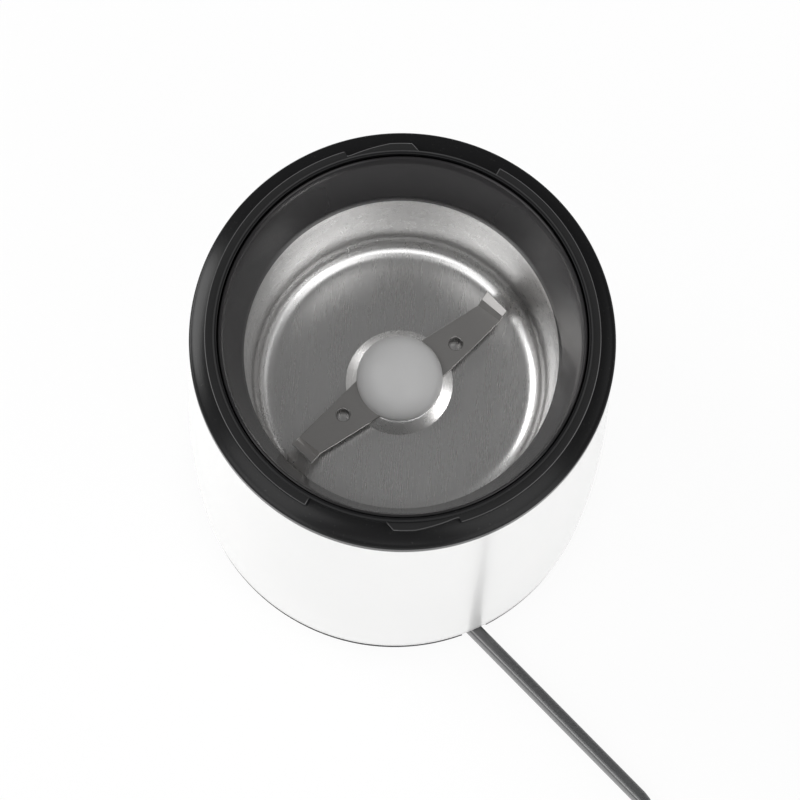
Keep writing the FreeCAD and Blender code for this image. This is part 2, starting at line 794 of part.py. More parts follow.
keep(stator, "stator_stack")

d.coil_inner_half = 6.3
d.coil_outer_half = 12.5
d.coil_inner_rise = 0.4
d.coil_outer_rise = 4.4
coils = []
for x in (d.coil_start, -d.coil_stop):
    outside = block("coil_outside", x, -d.coil_outer_half, d.stack_low - d.coil_outer_rise,
                    d.coil_wide, d.coil_outer_half * 2, stack_height + d.coil_outer_rise * 2)
    inside = block("coil_inside", x, -d.coil_inner_half, d.stack_low - d.coil_inner_rise,
                   d.coil_wide, d.coil_inner_half * 2, stack_height + d.coil_inner_rise * 2)
    coils.append(cut("field_coil", outside, [inside]))
keep(grouped("coil_set", coils), "field_coils")

d.fuse_inset = 1.6
d.fuse_x = d.coil_stop - d.fuse_inset
d.fuse_radius = 1.0
d.fuse_half = 5.0
coil_top = d.stack_high + d.coil_outer_rise
keep(rod("fuse", d.fuse_x, -d.fuse_half, coil_top + d.fuse_radius, d.fuse_radius,
         d.fuse_half * 2, "y"), "thermal_fuse")

# Brush gear on both sides of the commutator
d.commutator_low = 18.0
d.commutator_high = 27.0
d.commutator_radius = 6.5
d.brush_start = 6.6
d.brush_stop = 17.0
d.brush_half = 3.0
d.brush_low = 19.5
d.brush_high = 25.5
d.holder_start = 8.2
d.holder_stop = 27.0
d.holder_end_wall = 1.4
d.holder_half = 4.0
d.holder_wall = 1.0
d.holder_gap = 0.1
d.stand_start = 12.0
d.stand_stop = 24.0
holders = []
brushes = []
springs = []
d.brush_spring_radius = 2.1
d.brush_spring_wire = 0.35
d.brush_spring_turns = 5
brush_height = d.brush_high - d.brush_low
brush_mid = d.brush_low + brush_height / 2
spring_length = d.holder_stop - d.holder_end_wall - d.brush_stop
for side in (1, -1):
    def span(start, stop):
        low = start if side == 1 else -stop
        return (low, stop - start)
    x, wide = span(d.holder_start, d.holder_stop)
    shell = block("holder_shell", x, -d.holder_half, d.brush_low - d.holder_wall,
                  wide, d.holder_half * 2, brush_height + d.holder_wall * 2)
    x, wide = span(d.stand_start, d.stand_stop)
    stand = block("holder_stand", x, -d.brush_half, lower_top,
                  wide, d.brush_half * 2, d.brush_low - d.holder_wall - lower_top)
    x, wide = span(d.holder_start, d.holder_stop - d.holder_end_wall)
    hollow = block("holder_hollow", x, -d.brush_half - d.holder_gap, d.brush_low,
                   wide, (d.brush_half + d.holder_gap) * 2, brush_height)
    holders.append(cut("holder", fused("holder_solid", [shell, stand]), [hollow]))
    x, wide = span(d.brush_start, d.brush_stop)
    brushes.append(block("brush", x, -d.brush_half, d.brush_low, wide, d.brush_half * 2, brush_height))
    start = d.brush_stop + d.brush_spring_wire
    springs.append(spring("brush_spring", d.brush_spring_radius, d.brush_spring_wire,
                          spring_length, d.brush_spring_turns,
                          Rotation(Vector(0, 1, 0), 90 * side),
                          start if side == 1 else -start, 0, brush_mid))
keep(grouped("holder_set", holders), "brush_holders")
keep(grouped("brush_set", brushes), "carbon_brushes")
keep(grouped("brush_spring_set", springs), "brush_springs")

# Rotor: shaft, core, windings, commutator and fan
d.shaft_rise = 7.1
d.shaft_top = d.bowl_floor + d.shaft_rise
d.shaft_chamfer = 0.4
shaft = turned("shaft", [
    (0, d.shaft_low),
    (d.shaft_radius - d.shaft_chamfer, d.shaft_low),
    (d.shaft_radius, d.shaft_low + d.shaft_chamfer),
    (d.shaft_radius, d.shaft_top - d.shaft_chamfer),
    (d.shaft_radius - d.shaft_chamfer, d.shaft_top),
    (0, d.shaft_top),
])
keep(shaft, "shaft")

d.air_gap = 0.5
d.rotor_radius = d.stator_bore - d.air_gap
d.slot_count = 11
d.slot_share = 0.623188
d.slot_floor = d.rotor_radius * d.slot_share
d.slot_width_share = 0.0797101
d.slot_width_half = d.rotor_radius * d.slot_width_share
core = turned("rotor_core", [
    (d.shaft_radius, d.stack_low),
    (d.rotor_radius, d.stack_low),
    (d.rotor_radius, d.stack_high),
    (d.shaft_radius, d.stack_high),
])
groove = grown(core, d.stack_high, stack_height, cut=True, outlines=[[
    (d.slot_floor, -d.slot_width_half), (d.rotor_radius + d.wall, -d.slot_width_half),
    (d.rotor_radius + d.wall, d.slot_width_half), (d.slot_floor, d.slot_width_half)]])
repeated(core, groove, d.slot_count)
keep(core, "rotor_core")

d.winding_inset = 1.4
d.winding_radius = d.rotor_radius - d.winding_inset
d.winding_drop = 3.8
d.winding_low = d.stack_low - d.winding_drop
d.winding_rise = 3.6
d.winding_high = d.stack_high + d.winding_rise
d.winding_round = 2.4
windings = []
for name, near, far, sign in (("winding_low", d.stack_low, d.winding_low, 1),
                              ("winding_high", d.stack_high, d.winding_high, -1)):
    shoulder = far + d.winding_round * sign
    corners = [(d.shaft_radius, far), (d.winding_radius - d.winding_round, far, d.winding_round),
               (d.winding_radius, shoulder), (d.winding_radius, near), (d.shaft_radius, near)]
    if sign < 0:
        corners = [(d.shaft_radius, near), (d.winding_radius, near),
                   (d.winding_radius, shoulder, d.winding_round),
                   (d.winding_radius - d.winding_round, far), (d.shaft_radius, far)]
    windings.append(turned(name, corners))
keep(grouped("winding_set", windings), "armature_windings")

d.bar_count = 22
d.bar_depth = 0.8
d.bar_gap_half = 0.15
commutator = turned("commutator", [
    (d.shaft_radius, d.commutator_low),
    (d.commutator_radius, d.commutator_low),
    (d.commutator_radius, d.commutator_high),
    (d.shaft_radius, d.commutator_high),
])
nick = grown(commutator, d.commutator_high, d.commutator_high - d.commutator_low, cut=True,
             outlines=[[
                 (d.commutator_radius - d.bar_depth, -d.bar_gap_half),
                 (d.commutator_radius + d.bar_depth, -d.bar_gap_half),
                 (d.commutator_radius + d.bar_depth, d.bar_gap_half),
                 (d.commutator_radius - d.bar_depth, d.bar_gap_half)]])
repeated(commutator, nick, d.bar_count)
keep(commutator, "commutator")

d.fan_disc = 1.0
d.fan_hub = 5.0
d.fuse_clear = 3.0
d.fan_radius = d.fuse_x - d.fuse_clear
d.vane_inner = 7.0
d.vane_inset = 0.6
d.vane_outer = d.fan_radius - d.vane_inset
d.vane_half = 0.5
d.vane_count = 10
fan = turned("fan", [
    (d.shaft_radius, d.fan_low),
    (d.fan_radius, d.fan_low),
    (d.fan_radius, d.fan_low + d.fan_disc),
    (d.fan_hub, d.fan_low + d.fan_disc),
    (d.fan_hub, d.fan_high),
    (d.shaft_radius, d.fan_high),
])
vane = grown(fan, d.fan_low + d.fan_disc / 2, d.fan_high - d.fan_low - d.fan_disc / 2, outlines=[[
    (d.vane_inner, -d.vane_half), (d.vane_outer, -d.vane_half),
    (d.vane_outer, d.vane_half), (d.vane_inner, d.vane_half)]])
repeated(fan, vane, d.vane_count)
keep(fan, "fan")

# Blade: two arms with bent-up tips, a spacer below it, a nut and a domed cap above
d.blade_rise = 2.9
d.blade_low = d.bowl_floor + d.blade_rise
d.blade_thick = 1.3
d.spacer_thick = 0.6
d.blade_spacer_radius = 4.5
d.blade_hub = 8.6
d.root_a_x = 9.0
d.root_a_y = 0.85
d.fold_a_x = 20.6
d.fold_a_y = 14.5
d.fold_b_x = 15.7
d.fold_b_y = 17.6
d.root_b_x = 3.85
d.root_b_y = 8.7
d.arm_hole_x = 11.52
d.arm_hole_y = 8.81
d.arm_hole = 1.55
d.fold_angle = 57.7
d.tip_overlap = 1.0
d.tip_reach = 2.5
d.tip_rise = 2.1
d.tip_half = 2.9
blade_top = d.blade_low + d.blade_thick
keep(cut("blade_washer",
         rod("washer_disc", 0, 0, d.blade_low - d.spacer_thick, d.blade_spacer_radius, d.spacer_thick),
         [rod("washer_hole", 0, 0, d.blade_low - d.spacer_thick, d.shaft_radius, d.spacer_thick)]),
     "blade_spacer")

flat = doc.addObject("PartDesign::Body", "blade_flat")
grown(flat, d.blade_low, d.blade_thick, circles=[(0, 0, d.blade_hub)])
arm = grown(flat, d.blade_low, d.blade_thick, outlines=[[
    (0, 0), (d.root_a_x, d.root_a_y), (d.fold_a_x, d.fold_a_y),
    (d.fold_b_x, d.fold_b_y), (d.root_b_x, d.root_b_y)]])
repeated(flat, arm, d.two)


def blade_tip(name, sign, angle):
    body = doc.addObject("PartDesign::Body", name)
    sketch = new_sketch(body, "XZ_Plane")
    slant = math.hypot(d.tip_reach.value, d.tip_rise.value)
    lean_x = d.blade_thick * d.tip_rise / slant
    lean_z = d.blade_thick * d.tip_reach / slant
    add_outline(sketch, [
        (-d.tip_overlap, 0), (0, 0), (d.tip_reach, d.tip_rise),
        (d.tip_reach - lean_x, d.tip_rise + lean_z),
        (-lean_x / 2, d.blade_thick), (-d.tip_overlap, d.blade_thick)])
    pad = body.newObject("PartDesign::Pad", name + "_pad")
    pad.Profile = sketch
    pad.SideType = "Symmetric"
    pad.setExpression("Length", (d.tip_half * 2).words)
    x = (d.fold_a_x + d.fold_b_x) * (0.5 * sign)
    y = (d.fold_a_y + d.fold_b_y) * (0.5 * sign)
    place(body, x, y, d.blade_low, Rotation(Vector(0, 0, 1), angle.value))
    body.setExpression("Placement.Rotation.Angle", angle.words + " * 1 deg")
    return body


blade_solid = fused("blade_solid", [
    flat, blade_tip("blade_tip_right", 1, d.fold_angle),
    blade_tip("blade_tip_left", -1, d.fold_angle + 180)])
blade = cut("blade_cut", blade_solid, [
    rod("blade_bore", 0, 0, d.blade_low, d.shaft_radius, d.blade_thick),
    rod("arm_hole_right", d.arm_hole_x, d.arm_hole_y, d.blade_low, d.arm_hole, d.blade_thick),
    rod("arm_hole_left", -d.arm_hole_x, -d.arm_hole_y, d.blade_low, d.arm_hole, d.blade_thick)])
keep(blade, "blade")

d.nut_radius = 4.2
d.nut_height = 3.2
d.cap_radius = 9.3
d.cap_side = 3.2
d.cap_side_top = blade_top + d.cap_side
d.cap_top_radius = 7.0
d.cap_round = 2.4
d.cap_shoulder_rise = 1.9
d.cap_shoulder = d.cap_side_top + d.cap_shoulder_rise
d.cap_rise = 0.3
d.cap_top = d.cap_shoulder + d.cap_rise
d.cap_hollow = 4.3
d.cap_hollow_height = 3.5
d.cap_hollow_top = blade_top + d.cap_hollow_height
cap_dome = (d.cap_top_radius * d.cap_top_radius + d.cap_rise * d.cap_rise) / (d.cap_rise * 2)
hexagon = doc.addObject("Part::Prism", "nut_hexagon")
hexagon.Polygon = 6
hexagon.setExpression("Circumradius", d.nut_radius.words)
hexagon.setExpression("Height", d.nut_height.words)
place(hexagon, 0, 0, blade_top)
keep(cut("nut", hexagon, [rod("nut_bore", 0, 0, blade_top, d.shaft_radius, d.nut_height)]),
     "blade_nut")
cap = turned("hub_cap", [
    (d.cap_hollow, blade_top),
    (d.cap_radius, blade_top),
    (d.cap_radius, d.cap_side_top, d.cap_round),
    (d.cap_top_radius, d.cap_shoulder, cap_dome),
    (0, d.cap_top),
    (0, d.cap_hollow_top),
    (d.cap_hollow, d.cap_hollow_top),
])
keep(cap, "hub_cap")

# Lid switch: plunger under the lip, its spring, the switch and the bracket that holds both
d.plunger_half = 1.8
d.plunger_top_gap = 0.4
d.plunger_top = d.lip_low - d.plunger_top_gap
d.plunger_foot_reach = 10.3
d.foot_inner = d.plunger_outer - d.plunger_foot_reach
d.plunger_foot = 2.0
d.switch_half = 13.9
d.switch_low = 30.0
d.switch_height = 15.9
d.button_inset = 5.5
d.button_along = d.switch_inner + d.button_inset
d.button_radius = 1.3
d.button_height = 1.5
d.button_gap = 2.2
d.plunger_low = d.switch_low + d.switch_height + d.button_height + d.button_gap
d.shelf_thick = 2.4
d.seat_half = 3.0
d.seat_top = 40.0
d.leg_thick = 2.8
d.leg_inner = d.switch_outer - d.leg_thick
d.leg_half = 10.0
d.spring_inset = 0.2
d.spring_along = d.plunger_inner - d.spring_inset
d.spring_radius = 1.4
d.spring_wire = 0.25
d.spring_turns = 6
plunger = fused("plunger", [
    block("plunger_rod", d.plunger_inner, -d.plunger_half, d.plunger_low,
          d.plunger_outer - d.plunger_inner, d.plunger_half * 2, d.plunger_top - d.plunger_low),
    block("plunger_foot", d.foot_inner, -d.plunger_half, d.plunger_low,
          d.plunger_outer - d.foot_inner, d.plunger_half * 2, d.plunger_foot)])
turn_about_axis(plunger, d.switch_angle)
keep(plunger, "switch_plunger")

switch = fused("switch", [
    block("switch_case", d.switch_inner, -d.switch_half, d.switch_low,
          d.switch_outer - d.switch_inner, d.switch_half * 2, d.switch_height),
    rod("switch_button", d.button_along, 0, d.switch_low + d.switch_height,
        d.button_radius, d.button_height)])
turn_about_axis(switch, d.switch_angle)
keep(switch, "microswitch")

shelf_low = d.switch_low - d.shelf_thick
legs = []
for v in (-d.switch_half, d.leg_half):
    legs.append(block("leg", d.leg_inner, v, d.plate_top, d.switch_outer - d.leg_inner,
                      d.switch_half - d.leg_half, shelf_low - d.plate_top))
switch_bracket = fused("bracket_for_switch", [
    block("shelf", d.switch_inner, -d.switch_half, shelf_low,
          d.switch_outer - d.switch_inner, d.switch_half * 2, d.shelf_thick),
    block("seat", d.switch_outer, -d.seat_half, shelf_low,
          d.seat_outer - d.switch_outer, d.seat_half * 2, d.seat_top - shelf_low)] + legs)
turn_about_axis(switch_bracket, d.switch_angle)
keep(switch_bracket, "switch_bracket")

spring_x, spring_y = polar(d.spring_along, d.switch_angle)
keep(spring("return_spring", d.spring_radius, d.spring_wire, d.plunger_low - d.seat_top,
            d.spring_turns, None, spring_x, spring_y, d.seat_top + d.spring_wire), "plunger_spring")

# Electrics on the base plate
d.part_height = 6.4
d.capacitor_inset = 6.0
d.capacitor_y = 3.0
d.capacitor_long = 18.0
d.capacitor_wide = 13.0
d.terminal_inset = 20.0
d.terminal_x = d.stack_half_x - d.terminal_inset
d.terminal_y = 2.0
d.terminal_long = 16.0
d.terminal_wide = 10.0
keep(block("capacitor_block", d.capacitor_inset - d.pillar_x, d.capacitor_y, d.plate_top,
           d.capacitor_long, d.capacitor_wide, d.part_height), "capacitor")
keep(block("terminal", d.terminal_x, d.terminal_y, d.plate_top,
           d.terminal_long, d.terminal_wide, d.part_height), "terminal_block")


# Wires and cord: straight runs joined by tangent arcs
def middle_of_arc(start, direction, end):
    chord = end - start
    turn = direction.getAngle(chord)
    if turn < 1e-6:
        return None
    side = chord / chord.Length
    outward = direction - side * direction.dot(side)
    outward = outward / outward.Length
    return (start + end) / 2 + outward * (chord.Length / 2 * math.tan(turn / 2))


def joined_runs(points, report=""):
    """Edges through the points, each corner rounded to 0.45 of its shorter run."""
    edges = []
    radii = []
    start = points[0]
    for i in range(1, len(points) - 1):
        before = points[i] - points[i - 1]
        after = points[i + 1] - points[i]
        turn = before.getAngle(after)
        reach = 0.45 * min(before.Length, after.Length)
        radii.append(round(reach / math.tan(turn / 2), 1))
        tangent_in = points[i] - before / before.Length * reach
        tangent_out = points[i] + after / after.Length * reach
        edges.append(Part.makeLine(start, tangent_in))
        middle = middle_of_arc(tangent_in, before / before.Length, tangent_out)
        edges.append(Part.Arc(tangent_in, middle, tangent_out).toShape())
        start = tangent_out
    edges.append(Part.makeLine(start, points[-1]))
    if report:
        print(report, "arc radii", radii)
    return edges


def tube(edges, radius):
    wire = Part.Wire(edges)
    first = edges[0]
    start = first.valueAt(first.FirstParameter)
    direction = first.tangentAt(first.FirstParameter)
    ring = Part.Wire([Part.makeCircle(radius, start, direction)])
    shape = wire.makePipeShell([ring], True, False)
    length = sum(edge.Length for edge in edges)
    print("tube volume over section x length", round(shape.Volume / (math.pi * radius ** 2 * length), 4),
          "length", round(length, 1))
    return shape


def shaped(name, shape):
    item = doc.addObject("Part::Feature", name)
    item.Shape = shape
    item.Placement = Placement()
    return item


heading = math.radians(d.exit_angle.value)
ahead = Vector(math.cos(heading), math.sin(heading), 0)
cord_start = Vector(exit_x.value, exit_y.value, d.cord_radius.value)

# Strain relief: round and tapered, its narrow face meets the cord
relief_ends = []
for along, height, radius in ((0, d.cord_radius, d.cord_radius),
                              (-d.relief_length, d.cord_radius + d.relief_rise, d.relief_radius)):
    ring = doc.addObject("Part::Circle", "relief_ring")
    ring.setExpression("Radius", sized(radius).words)
    x, y = on_cord_line(along, 0)
    place(ring, x, y, height, Rotation(Vector(0, 0, 1), ahead))
    relief_ends.append(ring)
relief = doc.addObject("Part::Loft", "relief_loft")
relief.Sections = relief_ends
relief.Solid = True
relief.Ruled = True
keep(relief, "strain_relief")

# Clamp bar over the relief with its two screws
d.clamp_along = -15.0
d.clamp_wide = 6.0
d.clamp_half = 8.5
d.clamp_high = 3.2
d.clamp_screw_across = 6.3
d.clamp_screw_radius = 1.1
d.clamp_head_radius = 2.0
d.clamp_head_height = 1.4
clamp_block = doc.addObject("Part::Box", "clamp_block")
for field, number in (("Length", d.clamp_wide), ("Width", d.clamp_half * 2), ("Height", d.clamp_high)):
    clamp_block.setExpression(field, number.words)
x, y = on_cord_line(d.clamp_along, -d.clamp_half)
place(clamp_block, x, y, d.plate_top, Rotation(Vector(0, 0, 1), d.exit_angle.value))
clamp_spots = [on_cord_line(d.clamp_along + d.clamp_wide / 2, across)
               for across in (-d.clamp_screw_across, d.clamp_screw_across)]
clamp_holes = [rod("clamp_hole", x, y, d.plate_top, d.clamp_screw_radius, d.clamp_high)
               for x, y in clamp_spots]
keep(cut("clamp", clamp_block, [relief] + clamp_holes), "cord_clamp")
clamp_top = d.plate_top + d.clamp_high
keep(grouped("clamp_screw_set", [
    stack("clamp_screw", x, y, [
        (d.plate_top, clamp_top, d.clamp_screw_radius),
        (clamp_top, clamp_top + d.clamp_head_height, d.clamp_head_radius)])
    for x, y in clamp_spots]), "clamp_screws")

# Two wires from the relief to the terminal block
d.wire_radius = 0.9
d.wire_across = 1.3
d.wire_level = 29.0
d.wire_climb = 36.0
d.wire_shift = 1.0
d.wire_rise = 4.2
d.wire_lead = 6.5
d.wire_spread = 2.0
wires = []
relief_back = d.cord_radius.value + d.relief_rise.value
for sign in (1, -1):
    spots = []
    for along, height in ((-d.relief_length.value, 0), (-d.wire_level.value, 0),
                          (sign * d.wire_shift.value - d.wire_climb.value, d.wire_rise.value)):
        x, y = turned_xy(along, d.wire_across * sign, d.exit_angle)
        spots.append(cord_start + Vector(x.value, y.value, height + relief_back - cord_start.z))
    pole_x = d.terminal_x.value - d.wire_lead.value
    pole_y = d.terminal_y.value + d.terminal_wide.value / 2 - sign * d.wire_spread.value
    high = relief_back + d.wire_rise.value
    spots.append(Vector(pole_x + sign * d.wire_across.value, pole_y, high))
    spots.append(Vector(d.terminal_x.value, pole_y, high))
    wires.append(shaped("wire", tube(joined_runs(spots), d.wire_radius.value)))
keep(grouped("wire_set", wires), "lead_wires")

# Cord: one straight run as in the picture, a slight bend, then the coil
d.run_one = 58.0
d.run_two = 31.0
d.bend_angle = 25.0
corner = cord_start + ahead * d.run_one.value
heading_two = heading - math.radians(d.bend_angle.value)
ahead_two = Vector(math.cos(heading_two), math.sin(heading_two), 0)
free_end = corner + ahead_two * d.run_two.value
route = [cord_start, corner, free_end]
print("cord route", [[round(c, 3) for c in p] for p in route])
keep(shaped("cord_run", tube(joined_runs(route, "cord"), d.cord_radius.value)), "cord_free")

# Coil: a clockwise spiral inwards on the floor, a climbing half turn, a spiral outwards on top
d.coil_radius = 30.0
d.coil_pitch = 5.0
d.layer_step = 5.0
d.turns_in = 2.5
d.turns_out = 2.3
slope = d.coil_pitch.value / (2 * math.pi)
diameter = 2 * d.cord_radius.value
enter = free_end + ahead_two * diameter
start_angle = heading_two + math.pi / 2 + math.atan(slope / d.coil_radius.value)
centre = enter - Vector(math.cos(start_angle), math.sin(start_angle), 0) * d.coil_radius.value
centre.z = 0
phase_in = 2 * math.pi * d.turns_in.value
phase_top = phase_in + math.pi
inner_radius = d.coil_radius.value - slope * phase_in
end_phase = phase_top + 2 * math.pi * d.turns_out.value
end_radius = inner_radius + slope * (end_phase - phase_top)
# The last phase is set so that the cord leaves towards -X.
leave = -math.pi / 2 - math.atan(slope / end_radius)
whole = round((start_angle - end_phase - leave) / (2 * math.pi))
end_phase = start_angle - leave - 2 * math.pi * whole


def coil_state(phase):
    """Radius, its slope, height and its slope at a phase of the winding."""
    low, high = d.cord_radius.value, d.cord_radius.value + d.layer_step.value
    if phase <= phase_in:
        return (d.coil_radius.value - slope * phase, -slope, low, 0)
    if phase >= phase_top:
        return (inner_radius + slope * (phase - phase_top), slope, high, 0)
    u = phase - phase_in
    radius = inner_radius - slope * u + slope * u * u / math.pi
    height = low + (high - low) * (1 - math.cos(u)) / 2
    return (radius, slope * (2 * u / math.pi - 1), height, (high - low) * math.sin(u) / 2)


def coil_station(phase):
    radius, radius_slope, height, height_slope = coil_state(phase)
    angle = start_angle - phase
    outward = Vector(math.cos(angle), math.sin(angle), 0)
    onward = Vector(math.sin(angle), -math.cos(angle), 0)
    point = centre + outward * radius + Vector(0, 0, height)
    tangent = onward * radius + outward * radius_slope + Vector(0, 0, height_slope)
    return point, tangent / tangent.Length


def two_arcs(start, start_way, end, end_way):
    """Two arcs that share a tangent, from one station to the next."""
    chord = end - start
    ways = start_way + end_way
    a = 2 * (1 - start_way.dot(end_way))
    b = chord.dot(ways)
    c = chord.dot(chord)
    reach = (-b + math.sqrt(b * b + a * c)) / a
    joint = (start + start_way * reach + end - end_way * reach) / 2
    first = Part.Arc(start, middle_of_arc(start, start_way, joint), joint).toShape()
    middle = middle_of_arc(end, end_way * -1, joint)
    second = Part.Arc(joint, middle, end).toShape()
    return [first, second]


phases = [phase_in + math.pi / 2 * i for i in range(-30, 40)]
phases = [0] + [p for p in phases if 0.4 < p < end_phase - 0.4] + [end_phase]
stations = [coil_station(phase) for phase in phases]
coil_edges = [Part.makeLine(free_end, enter)]
for i in range(len(stations) - 1):
    coil_edges += two_arcs(*stations[i], *stations[i + 1])
last_point, last_way = stations[-1]
coil_end = last_point + last_way * diameter
coil_edges.append(Part.makeLine(last_point, coil_end))
least_gap = 1e9
samples = []
for i in range(int(end_phase * 16)):
    samples.append((i / 16, coil_station(i / 16)[0]))
for i, (phase, point) in enumerate(samples):
    for other, spot in samples[i + 1:]:
        if other - phase > 4:
            least_gap = min(least_gap, (spot - point).Length - diameter)
print("coil least gap", round(least_gap, 2), "turns", round(end_phase / (2 * math.pi), 2),
      "centre", [round(c, 2) for c in centre], "end", [round(c, 2) for c in coil_end])
keep(shaped("cord_turns", tube(coil_edges, d.cord_radius.value)), "cord_coil")

# Plug lying beside the coil
d.plug_relief_length = 25.0
d.plug_relief_radius = 4.4
d.plug_length = 30.0
d.plug_width = 24.0
d.plug_round = 2.6
d.blade_length = 17.0
d.blade_height = 6.3
d.blade_width = 1.5
d.blade_spacing = 12.7
plug_axis = coil_end.z
relief_start = coil_end.x
relief_stop = relief_start - d.plug_relief_length.value
plug_stop = relief_stop - d.plug_length.value
keep(rod("plug_taper", relief_start, coil_end.y, plug_axis, d.cord_radius,
         d.plug_relief_length, "-x", d.plug_relief_radius), "plug_relief")
plug = doc.addObject("PartDesign::Body", "plug")
half = d.plug_width / 2
plug_pad = grown(plug, 0, plug_axis * 2, outlines=[[
    (plug_stop, sized(coil_end.y) - half), (relief_stop, sized(coil_end.y) - half),
    (relief_stop, sized(coil_end.y) + half), (plug_stop, sized(coil_end.y) + half)]])
doc.recompute()
rounding = plug.newObject("PartDesign::Fillet", "plug_rounding")
rounding.Base = (plug_pad, [f"Edge{i + 1}" for i in range(len(plug_pad.Shape.Edges))])
rounding.setExpression("Radius", d.plug_round.words)
plug.Tip = rounding
keep(plug, "plug_body")
keep(grouped("plug_blade_set", [
    block("plug_blade", plug_stop - d.blade_length.value,
          sized(coil_end.y) + d.blade_spacing * side - d.blade_width / 2,
          sized(plug_axis) - d.blade_height / 2, d.blade_length, d.blade_width, d.blade_height)
    for side in (0.5, -0.5)]), "plug_blades")

doc.recompute()
bad = []
for item in doc.Objects:
    if "Invalid" in item.State or "Error" in item.State:
        bad.append(f"{item.Name} {item.State}")
for name, item in nodes:
    shape = item.Shape
    if shape.isNull() or not shape.isValid() or not shape.Solids:
        bad.append(f"{name} has no sound shape")
if bad:
    raise RuntimeError("; ".join(bad))
for name, item in nodes:
    shape = item.Shape
    box = shape.BoundBox
    print(f"{name:18s} solids {len(shape.Solids)} volume {shape.Volume:10.1f}",
          f"z {box.ZMin:7.2f} {box.ZMax:7.2f}  x {box.XMin:7.2f} {box.XMax:7.2f}")
    shape.exportStep(f"parts/{name}.step")
print(len(nodes), "nodes")
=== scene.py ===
import math
import bpy
from mathutils import Matrix, Vector


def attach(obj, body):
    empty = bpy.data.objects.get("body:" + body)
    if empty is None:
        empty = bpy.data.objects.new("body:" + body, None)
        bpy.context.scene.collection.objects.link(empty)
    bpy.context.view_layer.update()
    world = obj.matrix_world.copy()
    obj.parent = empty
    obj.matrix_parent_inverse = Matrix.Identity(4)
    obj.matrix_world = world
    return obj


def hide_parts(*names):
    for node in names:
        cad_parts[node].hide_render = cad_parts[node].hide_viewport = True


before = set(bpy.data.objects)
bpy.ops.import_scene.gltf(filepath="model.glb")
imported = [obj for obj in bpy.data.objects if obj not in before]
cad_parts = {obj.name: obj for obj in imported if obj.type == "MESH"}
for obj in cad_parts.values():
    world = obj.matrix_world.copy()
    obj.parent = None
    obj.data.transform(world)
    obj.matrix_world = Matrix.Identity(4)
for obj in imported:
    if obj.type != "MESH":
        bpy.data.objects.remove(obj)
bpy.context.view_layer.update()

mm = 0.001
tau = 2 * math.pi
roundSteps = 256  # segments of the large turned pieces
fineMerge = 0.000002  # metres, for outlines that close on themselves
poleMerge = 0.00001  # metres, for outlines that end on the axis
poleRadius = 0.0001  # millimetres, in place of zero while a ring is resized
near = 0.02  # millimetres, within which a vertex counts as being at a place


# Small helpers for working with bpy.ops
def deselectAll():
    if bpy.context.mode != "OBJECT":
        bpy.ops.object.mode_set(mode="OBJECT")
    bpy.ops.object.select_all(action="DESELECT")


def pick(piece):
    deselectAll()
    piece.select_set(True)
    bpy.context.view_layer.objects.active = piece


def applyPlace(piece):
    pick(piece)
    bpy.ops.object.transform_apply(location=True, rotation=True, scale=True)


def applyModifiers(piece):
    pick(piece)
    for modifier in list(piece.modifiers):
        bpy.ops.object.modifier_apply(modifier=modifier.name)


def cleanShell(piece, distance=poleMerge):
    pick(piece)
    bpy.ops.object.mode_set(mode="EDIT")
    bpy.ops.mesh.select_all(action="SELECT")
    bpy.ops.mesh.remove_doubles(threshold=distance)
    bpy.ops.mesh.normals_make_consistent(inside=False)
    bpy.ops.object.mode_set(mode="OBJECT")


def softEdges(piece, width, angle=28, steps=3):
    bevel = piece.modifiers.new("edges", "BEVEL")
    bevel.width = width * mm
    bevel.segments = steps
    bevel.limit_method = "ANGLE"
    bevel.angle_limit = math.radians(angle)
    applyModifiers(piece)


def shadeSmooth(piece, angle=32):
    pick(piece)
    bpy.ops.object.shade_smooth_by_angle(angle=math.radians(angle))


def carve(piece, cutter):
    boolean = piece.modifiers.new("carve", "BOOLEAN")
    boolean.operation = "DIFFERENCE"
    boolean.solver = "EXACT"
    boolean.object = cutter
    applyModifiers(piece)
    bpy.data.objects.remove(cutter)


def turnedPiece(name, profile, segments):
    # a ring that is extruded and resized from one profile point to the next, in millimetres
    deselectAll()
    first = profile[0]
    closed = first[0] == profile[-1][0] and first[1] == profile[-1][1]
    bpy.ops.mesh.primitive_circle_add(
        vertices=segments, radius=first[0] * mm, location=(0, 0, first[1] * mm), fill_type="NOTHING")
    piece = bpy.context.object
    piece.name = name
    applyPlace(piece)
    bpy.ops.object.mode_set(mode="EDIT")
    bpy.ops.mesh.select_mode(type="VERT")
    bpy.ops.mesh.select_all(action="SELECT")
    radius, height = first
    for nextRadius, nextHeight in profile[1:]:
        bpy.ops.mesh.extrude_region_move(
            TRANSFORM_OT_translate={"value": (0, 0, (nextHeight - height) * mm)})
        factor = max(nextRadius, poleRadius) / radius
        bpy.ops.transform.resize(value=(factor, factor, 1), center_override=(0, 0, nextHeight * mm))
        radius, height = max(nextRadius, poleRadius), nextHeight
    bpy.ops.object.mode_set(mode="OBJECT")
    cleanShell(piece, fineMerge if closed else poleMerge)
    return piece


def arcPoints(centre, radius, fromAngle, toAngle, count):
    points = []
    for i in range(count + 1):
        angle = math.radians(fromAngle + (toAngle - fromAngle) * i / count)
        points.append((centre[0] + radius * math.cos(angle), centre[1] + radius * math.sin(angle)))
    return points


def blockPiece(name, low, high, turn=0):
    deselectAll()
    middle = [(a + b) / 2 * mm for a, b in zip(low, high)]
    bpy.ops.mesh.primitive_cube_add(size=1, location=middle)
    piece = bpy.context.object
    piece.name = name
    piece.scale = [(b - a) * mm for a, b in zip(low, high)]
    applyPlace(piece)
    if turn:
        piece.rotation_euler = (0, 0, math.radians(turn))
        applyPlace(piece)
    return piece


